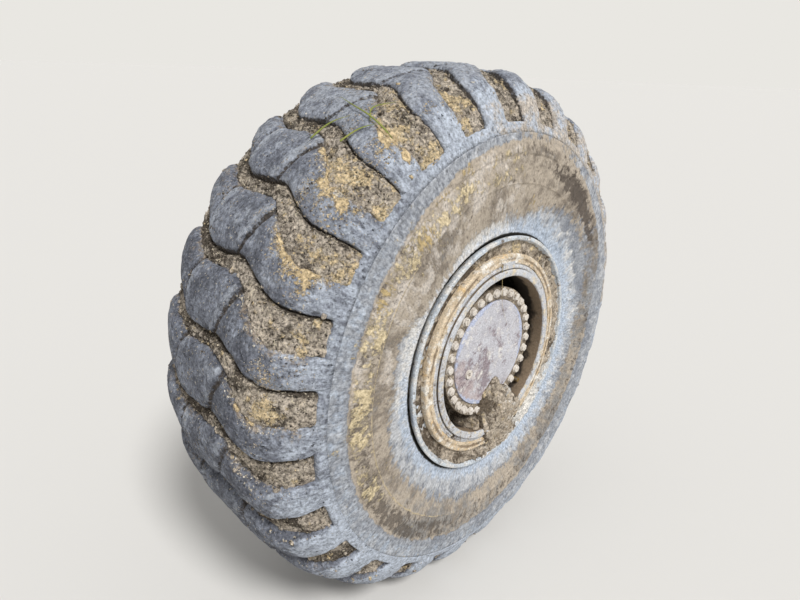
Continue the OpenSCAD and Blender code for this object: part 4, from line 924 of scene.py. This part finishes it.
band = spunRing("rim_bead_seat_band", bandPoints(rimShape), "bead_seat_band", bandPaint,
                dict(ringSettings, steps=20, shape=notchBand))
places = vertexPlaces(band.data)
radius, v, angle = polar(places)
fromLine = np.abs(radius - rimShape["ringLineR"])
writeLayer(band.data, "line", smoothStep(9, 1, fromLine) * (0.6 + 0.5 * noiseAt(places, 130, 3)))


def basePoints(s):
    bore, gutter, face, ring = s["boreR"], s["gutterR"], s["gutterV"], s["endRingR"]
    lip = [(bore, face - 3), (bore + 3, face), (gutter + 3, face), (gutter + 5, face - 5),
           (gutter, face - s["gutterLip"]), (gutter, s["lockV"]), (298.2, 280.5), (298.2, 221.5)]
    seat = [(s["barrelR"], 211.5), (s["barrelR"], -117), (311.5, -181.5),
            (s["seatR"], -201.5), (s["seatR"], -292.5)]
    stop = [(ring, -292.5), (ring, -311.5), (ring - 5, -316.5), (297.5, -316.5)]
    inside = [(s["barrelInR"], -262.5), (s["barrelInR"], 196.5)]
    return lip + seat + stop + inside + [(bore, v) for v in (226.5, 250, 270, 290, 305, 316)]


base = spunRing("rim_base_gutter", basePoints(rimShape), "rim_base", gutterPaint,
                dict(ringSettings, dent=0.5))
radius, v, angle = polar(vertexPlaces(base.data))
bore = smoothStep(rimShape["barrelInR"] + 6, rimShape["barrelInR"] + 1, radius)
writeLayer(base.data, "brown", bore * smoothStep(rimShape["gutterV"] - 2, rimShape["gutterV"] - 9, v))
# painted shade: the bore darkens with depth
writeLayer(base.data, "grime", 1.1 * bore * smoothStep(300, 262, v))


# Split lock ring: the section is spun short of a full turn and its ends are closed
def makeLockRing(s, material):
    foot, face = s["gutterR"] + 0.3, s["endRingV"]
    points = [(foot, 297.8), (s["gutterR"] + 5, 292.8), (299.5, 292.8), (304.2, 295.8), (304.2, 313.5),
              (297.5, 313.5), (297.5, face), (290, face), (290, 311.5), (foot, 311.5)]
    split = 16 / s["gutterR"]
    start = math.radians(230) + split / 2
    bm = bmesh.new()
    verts = [bm.verts.new(Vector(toFrame(np.float64(r), np.float64(v), start))) for r, v in points]
    bmesh.ops.spin(bm, geom=[bm.faces.new(verts)], cent=(0, 0, 0), axis=(0, -1, 0),
                   angle=2 * math.pi - split, steps=240)
    bmesh.ops.recalc_face_normals(bm, faces=bm.faces)
    bevelSharp(bm, 32, 1.2, 2)
    mesh = meshFrom(bm, "rim_lock_ring")
    places = vertexPlaces(mesh)
    radius, v, angle = polar(places)
    radius += 0.4 * noiseAt(places, 50, 3)
    v += 0.4 * noiseAt(places, 60, 3, 3.0)
    setPlaces(mesh, toFrame(radius, v, angle))
    return finishPiece("rim_lock_ring", mesh, "wheel", material, ["lock_ring"])


makeLockRing(rimShape, gutterPaint)

# Hub: carrier, cover and bolts
hubShape = {
    "carrierR": 221, "carrierV": 290.5, "carrierBack": 270.5,
    "recessR": 179.3, "recessV": 277.5, "spigotR": 173.9, "coverR": 179, "coverV": 295.5,
    "boltR": 204.5, "bolts": 32, "boltStart": 10, "boltFlats": 24, "boltHigh": 10,
    "washer": 6,                           # how much wider than its flats a bolt's flange is
}
# Hub paint, flat grey gone brown with dust and oil
hubPaint = weatheredSurface(
    "hubPaint", dict(tones=("8e8272", "766b5e"), size=40, grain=4, relief=1.0, contrast=0.3),
    [coat(0.38, "544b42", "443d36", size=16, edge=0.12, thick=-0.3),
     coat(0.36, "bfb29f", "a99b86", size=20, edge=0.12, thick=0.8)], rough=0.8)
# Cover paint, flaked down to red-brown primer, under pale dust, with a painted bluish highlight round its edge
coverPaint = weatheredSurface(
    "coverPaint", dict(tones=("c3c3c8", "aeacb2"), size=44, grain=5, relief=0.8, contrast=0.34),
    [coat("wash", "a3918f", "b3a3a0", size=50, edge=0.3, most=0.85, thick=0.0, ragged=0.7),
     coat("flaked", "74676c", "8f8185", size=22, edge=0.1, most=0.85, thick=-0.3, detail=10.0, ragged=0.8),
     # painted highlight round the cover's edge
     coat("rim", "a3aac2", "b5bbcd", size=18, edge=0.15, thick=0.1),
     coat(0.26, "dedbd6", "d3cec8", size=30, edge=0.2, thick=0.3, ragged=0.7)], rough=0.75)
# Zinc-plated bolts, dulled and caked with dust
dustyBolt = weatheredSurface(
    "dustyBolt", dict(tones=("e0dad2", "c6bdb2"), size=14, grain=2, relief=0.4, contrast=0.25),
    [coat(0.28, "8d7e6c", "75685a", size=10, edge=0.12, thick=-0.2),
     coat(0.3, "ddd6ca", "cdc3b3", size=8, edge=0.15, thick=0.4)], rough=0.7, metallic=0.1)


def makeCarrier(s, material):
    back, face, floor = s["carrierBack"], s["carrierV"], s["recessV"]
    points = [(0.0, 240.5), (s["spigotR"], 240.5), (s["spigotR"], back), (s["carrierR"], back),
              (s["carrierR"], face), (s["recessR"], face), (s["recessR"], floor), (0.0, floor)]
    spunRing("hub_carrier", points, "planet_carrier", material,
             dict(ringSettings, bevel=2, dent=0.3))


def makeCover(s, material):
    points = [(0.0, s["recessV"]), (s["coverR"], s["recessV"]), (s["coverR"], s["coverV"])]
    points += [(r, s["coverV"]) for r in np.linspace(s["coverR"] - 8, 0, 12)]
    piece = spunRing("hub_flat_cover", points, "hub_cover", material,
                     dict(ringSettings, bevel=2.5, dent=0.5))
    places = vertexPlaces(piece.data)
    radius, _, angle = polar(places)
    x, z = places[:, 0] / mm, places[:, 2] / mm
    # painted bluish highlight round the edge
    writeLayer(piece.data, "rim", smoothStep(166, 176, radius) * (0.9 + 0.6 * np.sin(angle * 3 + 1)))
    low = -radius * np.sin(angle + math.pi / 4)
    writeLayer(piece.data, "wash", 0.1 + 0.5 * smoothStep(20, 150, low))
    writeLayer(piece.data, "flaked", 0.28 + 0.3 * np.exp(-((x + 60) / 90) ** 2 - ((z + 30) / 90) ** 2)
               + 0.4 * noiseAt(places, 60, 3))


def makeCoverBolts(s, material):
    bm = bmesh.new()
    rng = random.Random(5)
    flats = s["boltFlats"]
    cones = ((0, 2.5, flats + s["washer"], flats + s["washer"] - 1, 20),
             (2.0, s["boltHigh"], flats * 1.155, flats * 1.04, 6))
    for i in range(s["bolts"]):
        angle = math.radians(s["boltStart"] + i * 360 / s["bolts"])
        spot = Vector(toFrame(np.float64(s["boltR"]), np.float64(s["carrierV"]), angle))
        turn = Matrix.Rotation(math.pi / 2, 4, "X") @ Matrix.Rotation(rng.uniform(0, math.pi), 4, "Z")
        for low, high, wide, top, sides in cones:
            place = Matrix.Translation(spot + Vector((0, -(low + high) / 2 * mm, 0))) @ turn
            bmesh.ops.create_cone(bm, cap_ends=True, segments=sides, radius1=wide / 2 * mm,
                                  radius2=top / 2 * mm, depth=(high - low) * mm, matrix=place)
    bevelSharp(bm, 35, 2.6, 3)
    mesh = meshFrom(bm, "hub_cover_bolts")
    places = vertexPlaces(mesh)
    setPlaces(mesh, places + 0.4 * mm * noiseMoves(places, 7, (0.0, 3.0, 6.0)))
    return finishPiece("hub_cover_bolts", mesh, "wheel", material, ["cover_bolts"])


makeCarrier(hubShape, hubPaint)
makeCover(hubShape, coverPaint)
makeCoverBolts(hubShape, dustyBolt)

# Mud lodged in the channel behind the lip, and the clump hanging from the cover over the gutter
mudShape = {
    "innerR": 333, "outerR": 385, "channelV": 292.5, "topV": 329.8,
    # how deep the mud lies in the channel, by angle
    "fillAt": (0, 30, 70, 95, 120, 205, 228, 262, 300, 330, 360),
    "fill": (19, 15, 15, 7, 1.5, 1, 9, 25, 24, 20, 19),
    "clumpX": (-120, 210), "clumpZ": (-405, -85),
    # what the clump lies on, by radius
    "underAt": (140, 185, 222, 262, 285, 320, 345, 420),
    "under": (296, 299, 309, 322, 325.5, 319, 315, 313),
    "channelLumps": [(36, 5.5, 4, 1.0), (13, 3.5, 4, 5.0), (6, 1.5, 2, 9.0)],
    "clumpLumps": [(55, 13, 3, 11.0), (22, 10, 4, 17.0), (8, 4.0, 3, 23.0)],
}


# Rim mud: pale tan clay dried on the rim, brown where it is still damp; painted light and shade on the clump
rimMud = weatheredSurface(
    "rimMud", dict(tones=("bbaf9f", "9c8f7e"), size=30, grain=8, relief=7.0, contrast=0.6),
    [coat("dark", "6a5d4e", "463d34", size=18, edge=0.16, most=0.92, thick=-2.4, detail=8.0, ragged=0.76),
     coat("ochre", "d8c7a5", "c4ae87", size=20, edge=0.15, thick=1.2, detail=9.0, ragged=0.74),
     coat("pale", "dedad3", "ccc8c1", size=26, edge=0.15, thick=0.8, ragged=0.74)], rough=0.95, specular=0.1)


def writeMud(mesh, places, ochre, dark, pale):
    broad = noiseAt(places, 45, 3, 15.0)
    writeLayer(mesh, "ochre", ochre + 0.4 * broad)
    writeLayer(mesh, "dark", dark - 0.3 * broad)
    writeLayer(mesh, "pale", pale + 0.2 * broad)


def makeChannelMud(shape, material):
    points = [(r, shape["channelV"]) for r in np.linspace(shape["innerR"], shape["outerR"], 20)]
    bm = spinSection(points, 24, 20, closed=False)
    mesh = meshFrom(bm, "rim_channel_mud", outward=False)
    mesh.attributes.remove(mesh.attributes["row"])
    places = vertexPlaces(mesh)
    radius, v, angle = polar(places)
    turn = np.degrees(angle) % 360
    level = np.interp(turn, shape["fillAt"], shape["fill"])
    lumps = lumpsAt(places, shape["channelLumps"])
    v = np.clip(v + level + lumps * (0.4 + level / 22), 0, shape["topV"])
    setPlaces(mesh, toFrame(radius, v, angle))
    spots = ((52, 20, 0.3), (347, 5, 0.45), (255, 26, 0.3))     # damp places: angle, half width, strength
    damp = sum(strength * blob(angle, v, at, v, wide, 1) for at, wide, strength in spots)
    writeMud(mesh, places, 0.1 + 0.2 * np.sin(np.radians(turn)),
             0.1 + 0.4 * between(85, 110, 215, 240, turn) + damp,
             0.1 + 0.95 * blob(angle, v, 308, v, 28, 1) + 0.2 * blob(angle, v, 15, v, 25, 1))
    return finishPiece("rim_channel_mud", mesh, "wheel", material)


def makeClump(shape, material):
    bm = bmesh.new()
    bmesh.ops.create_grid(bm, x_segments=110, y_segments=110, size=1)
    mesh = meshFrom(bm, "rim_mud_clump", outward=False)
    grid = vertexPlaces(mesh)
    x = np.interp(grid[:, 0], (-1, 1), shape["clumpX"])
    z = np.interp(grid[:, 1], (-1, 1), shape["clumpZ"])
    flat = np.stack([x, 0 * x, z], axis=-1) * mm
    down = np.clip((-115 - z) / 240, 0, 1.2)     # 0 at the cover, 1 at the lip
    middle = 33 + 32 * down
    halfWide = np.interp(down, (0, 0.2, 0.375, 0.55, 0.8, 1.0, 1.2), (26, 66, 108, 110, 100, 88, 50))
    beyond = np.clip((z + 130) / 30, 0, 9) + np.clip((-345 - z) / 30, 0, 9)
    inside = 1 - np.hypot((x - middle) / halfWide, beyond)
    inside += 0.35 * noiseAt(flat, 60, 4, 3.0) + 0.16 * noiseAt(flat, 20, 3, 8.0)
    radius = np.hypot(x, z)
    under = np.interp(radius, shape["underAt"], shape["under"])
    lumps = lumpsAt(flat, shape["clumpLumps"])
    top = under + np.minimum(14 * np.clip(inside, 0, 1) ** 0.5 + lumps * np.clip(2.5 * inside, 0, 1), 14)
    v = np.where(inside > 0, top, under + 260 * np.clip(inside, -0.35, 0))
    v = np.minimum(v, shape["topV"] - np.clip(330 - radius, 0, 1))
    setPlaces(mesh, np.stack([x, middleY - v, z], axis=-1) * mm)
    # painted shade on the clump's left lobe and darker edges, and painted light on its right side
    paintedShadeLobe = np.exp(-((x + 5) / 42) ** 2 - ((z + 195) / 45) ** 2)
    writeMud(mesh, flat, 0.05 + 0.15 * smoothStep(150, 60, x), 0.22 + 0.3 * (inside < 0.1) + 0.5 * paintedShadeLobe,
             0.35 * smoothStep(40, 110, x))
    return finishPiece("rim_mud_clump", mesh, "wheel", material)


# A dry straw lies across the cover, and a few blades of grass across the upper lugs
strandShape = {
    "straw": [(-30, 314, 327), (2, 226, 314), (34, 160, 299), (78, 76, 297.5)],     # x, z and v
    "strawWide": 1.3, "bladeWide": 2.4,
}
bladeRoutes = [     # angle, arc from the tread's middle, lift over the lug
    [(122.4, 268, 4), (121.5, 200, 9), (120, 115, 6), (117.8, 28, 3)],
    [(127.8, 172, 2), (124.5, 190, 5), (122, 215, 6)],
    [(128.8, 80, 2), (125, 102, 6), (122.3, 138, 5)],
    [(122, 196, 5), (119.4, 172, 7), (115.8, 200, 3)],
]


def smoothRoute(points, steps):     # a curve through the points
    points = np.array(points, float)
    t = np.linspace(0, len(points) - 1, steps)
    k = np.clip(t.astype(int), 0, len(points) - 2)
    f = (t - k)[:, None]
    ends = np.concatenate([[2 * points[0] - points[1]], points, [2 * points[-1] - points[-2]]])
    a, b, c, d = ends[k], ends[k + 1], ends[k + 2], ends[k + 3]
    return b + 0.5 * f * (c - a + f * (2 * a - 5 * b + 4 * c - d + f * (3 * (b - c) + d - a)))


def makeStrands(name, routes, wide, sides, material):     # tapered tubes along routes in metres
    bm = bmesh.new()
    for route in routes:
        rings = []
        for i, place in enumerate(route):
            along = Vector(route[min(i + 1, len(route) - 1)] - route[max(i - 1, 0)]).normalized()
            size = wide * mm * max(0.25, 1 - (i / (len(route) - 1)) ** 3)
            across = along.orthogonal().normalized()
            over = along.cross(across)
            rings.append([bm.verts.new(Vector(place) + size * (math.cos(q) * across + 0.5 * math.sin(q) * over))
                          for q in np.arange(sides) * 2 * math.pi / sides])
        for low, high in zip(rings, rings[1:]):
            for i in range(sides):
                bm.faces.new((low[i], low[(i + 1) % sides], high[(i + 1) % sides], high[i]))
        bm.faces.new(rings[0][::-1])
        bm.faces.new(rings[-1])
    return finishPiece(name, meshFrom(bm, name), "wheel", material)


# Straw and grass, dry and half green
dryStraw = weatheredSurface(
    "dryStraw", dict(tones=("c9b483", "a8905f"), size=20, grain=3, relief=0.1, contrast=0.2))
greenGrass = weatheredSurface(
    "greenGrass", dict(tones=("8c8f4a", "6f7a3c"), size=40, grain=3, relief=0.1, contrast=0.25))
makeChannelMud(mudShape, rimMud)
makeClump(mudShape, rimMud)
straw = [np.array([x, middleY - v, z]) * mm for x, z, v in smoothRoute(strandShape["straw"], 24)]
makeStrands("rim_straw", [straw], strandShape["strawWide"], 6, dryStraw)
blades = []
for route in bladeRoutes:
    turn, arc, lift = smoothRoute(route, 22).T
    v, radius, normalR, normalV = crownAt(arc)
    blades.append(toFrame(radius + lift * normalR, v + lift * normalV, np.radians(turn)))
makeStrands("lug_grass", blades, strandShape["bladeWide"], 6, greenGrass)

# Finishes of the CAD nodes that keep their own shape
# Axle paint, blue-grey enamel under road dirt
axlePaint = weatheredSurface(
    "axlePaint", dict(tones=("56636f", "485460"), size=60, grain=2, relief=0.3),
    [coat(0.2, "7a5a44", "60483a", size=20, edge=0.1, thick=0.2),
     coat(0.42, "8f8372", "7d7263", size=34, edge=0.2, thick=0.8)], rough=0.65)
# Cast iron, coarse grained and lightly rusted
castIron = weatheredSurface(
    "castIron", dict(tones=("56504b", "463f3a"), size=30, grain=2.5, relief=0.5),
    [coat(0.4, "83583c", "6b4631", size=22, edge=0.2, thick=0.3),
     coat(0.3, "8f8372", "7d7263", size=30, edge=0.2, thick=0.6)], rough=0.8)
# Disc iron, turned bright by the pads and filmed with rust
discIron = weatheredSurface(
    "discIron", dict(tones=("8d8a86", "7c7671"), size=40, grain=1.5, relief=0.15),
    [coat(0.38, "8a6244", "74503a", size=16, edge=0.2, thick=0.2)], rough=0.5, metallic=0.5)
# Friction material, dark and gritty
frictionLining = weatheredSurface(
    "frictionLining", dict(tones=("35322f", "45413d"), size=12, grain=2, relief=0.4),
    [coat(0.25, "6d5f51", "5b4f44", size=14, edge=0.2, thick=0.3)], rough=0.9)
# Ground and oiled shaft steel
shaftSteel = weatheredSurface(
    "shaftSteel", dict(tones=("8e8e90", "7a7b7d"), size=30, grain=1, relief=0.08),
    [coat(0.3, "4f4538", "3f372d", size=24, edge=0.3, thick=0.1)], rough=0.35, metallic=0.9, specular=0.5)
# Black steel pipe, dusty
pipeSteel = weatheredSurface(
    "pipeSteel", dict(tones=("2f3032", "3b3c3e"), size=20, grain=1, relief=0.1),
    [coat(0.35, "8a7e6d", "756a5c", size=18, edge=0.2, thick=0.3)], rough=0.6)
# Nitrile seal, black and matt
sealRubber = weatheredSurface(
    "sealRubber", dict(tones=("1f1f20", "2a2a2b"), size=14, grain=1.5, relief=0.1),
    [coat(0.25, "5b5348", "4c453c", size=14, edge=0.2, thick=0.3)], rough=0.85)
# Valve brass, tarnished and dusty
valveBrass = weatheredSurface(
    "valveBrass", dict(tones=("9a7f4c", "7f6a42"), size=12, grain=1, relief=0.1),
    [coat(0.45, "a09380", "8a7e6c", size=12, edge=0.2, thick=0.4)], rough=0.55, metallic=0.5)
# Bare bolt steel, rusted dark
boltSteel = weatheredSurface(
    "boltSteel", dict(tones=("6b6259", "574e46"), size=12, grain=1.5, relief=0.2),
    [coat(0.35, "85603f", "6e4d35", size=12, edge=0.15, thick=0.2),
     coat(0.35, "a19582", "8c8171", size=14, edge=0.2, thick=0.5)], rough=0.7, metallic=0.2)

nodeFinishes = {
    "spindle": axlePaint, "brake_bracket": axlePaint, "bracket_bolts": boltSteel, "caliper_front": castIron,
    "caliper_rear": castIron, "brake_pads": frictionLining, "dirt_shield": axlePaint, "brake_pipe": pipeSteel,
    "half_shaft": shaftSteel, "rim_disc": rimPaint, "driver_key": gutterPaint, "valve": valveBrass,
    "hub": hubPaint, "wheel_nuts": boltSteel, "oil_plug": dustyBolt, "brake_disc": discIron,
    "disc_bolts": boltSteel, "seal_ring": sealRubber,
}
for nodeName, finish in nodeFinishes.items():
    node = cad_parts[nodeName]
    node.data.materials.clear()
    node.data.materials.append(finish)
print("finished", len(nodeFinishes), "CAD nodes")

# Floor, light and camera
stageSettings = {
    "floorSize": 400, "floorColour": "d2d0cc", "worldStrength": 0.5, "backdrop": "e9e7e2",
    "sunStrength": 3.0, "sunSpread": 14, "sunFrom": (-0.22, -0.72, 0.92),
}
cameraSettings = {
    "place": (-1.4849, -1.7349, 0.8573), "heading": 46.10, "pitch": -21.15, "roll": 2.13, "lens": 27,
}


def makeStage(s):
    bm = bmesh.new()
    bmesh.ops.create_grid(bm, x_segments=2, y_segments=2, size=s["floorSize"] / 2,
                          matrix=Matrix.Translation((0, 0, floorZ)))
    floor = linked("studioFloor", meshFrom(bm, "studioFloor", outward=False))
    material = bpy.data.materials.new("studioFloorPaint")
    material.use_nodes = True
    shader = material.node_tree.nodes["Principled BSDF"]
    shader.inputs["Base Color"].default_value = srgb(s["floorColour"])
    shader.inputs["Roughness"].default_value = 0.9
    floor.data.materials.append(material)


def addSun(s):     # a soft, broad key light
    lamp = bpy.data.lights.new("keyLight", "SUN")
    lamp.energy = s["sunStrength"]
    lamp.angle = math.radians(s["sunSpread"])
    linked("keyLight", lamp).rotation_euler = Vector(s["sunFrom"]).to_track_quat("Z", "Y").to_euler()


def makeWorld(s):
    world = bpy.data.worlds.new("studioWorld")
    bpy.context.scene.world = world
    world.use_nodes = True
    tree = world.node_tree
    tree.nodes.clear()
    light = addNode(tree, "LightPath")
    seen = addNode(tree, "Math", {"operation": "MAXIMUM"}, {0: light.outputs["Is Camera Ray"],
                                                            1: light.outputs["Is Glossy Ray"]})
    soft = addNode(tree, "Background", None, {"Color": (1, 1, 1, 1), "Strength": s["worldStrength"]})
    pale = addNode(tree, "Background", None, {"Color": srgb(s["backdrop"]), "Strength": 1.0})
    mixed = addNode(tree, "MixShader", None, {0: seen.outputs[0], 1: soft.outputs[0], 2: pale.outputs[0]})
    addNode(tree, "OutputWorld", None, {"Surface": mixed.outputs[0]})


def makeCamera(s):
    camera = bpy.data.cameras.new("photoCamera")
    camera.lens = s["lens"]
    camera.sensor_width = 36
    cameraObject = linked("photoCamera", camera)
    heading, tilt = math.radians(s["heading"]), math.radians(s["pitch"])
    forward = Vector((math.sin(heading) * math.cos(tilt), math.cos(heading) * math.cos(tilt), math.sin(tilt)))
    right = forward.cross(Vector((0, 0, 1))).normalized()
    up = right.cross(forward)
    turn = Matrix((right, up, -forward)).transposed() @ Matrix.Rotation(math.radians(s["roll"]), 3, "Z")
    cameraObject.matrix_world = Matrix.Translation(s["place"]) @ turn.to_4x4()
    bpy.context.scene.camera = cameraObject


makeStage(stageSettings)
addSun(stageSettings)
makeWorld(stageSettings)
makeCamera(cameraSettings)
bpy.context.scene.view_settings.view_transform = "Standard"
print("stage, light and camera set")
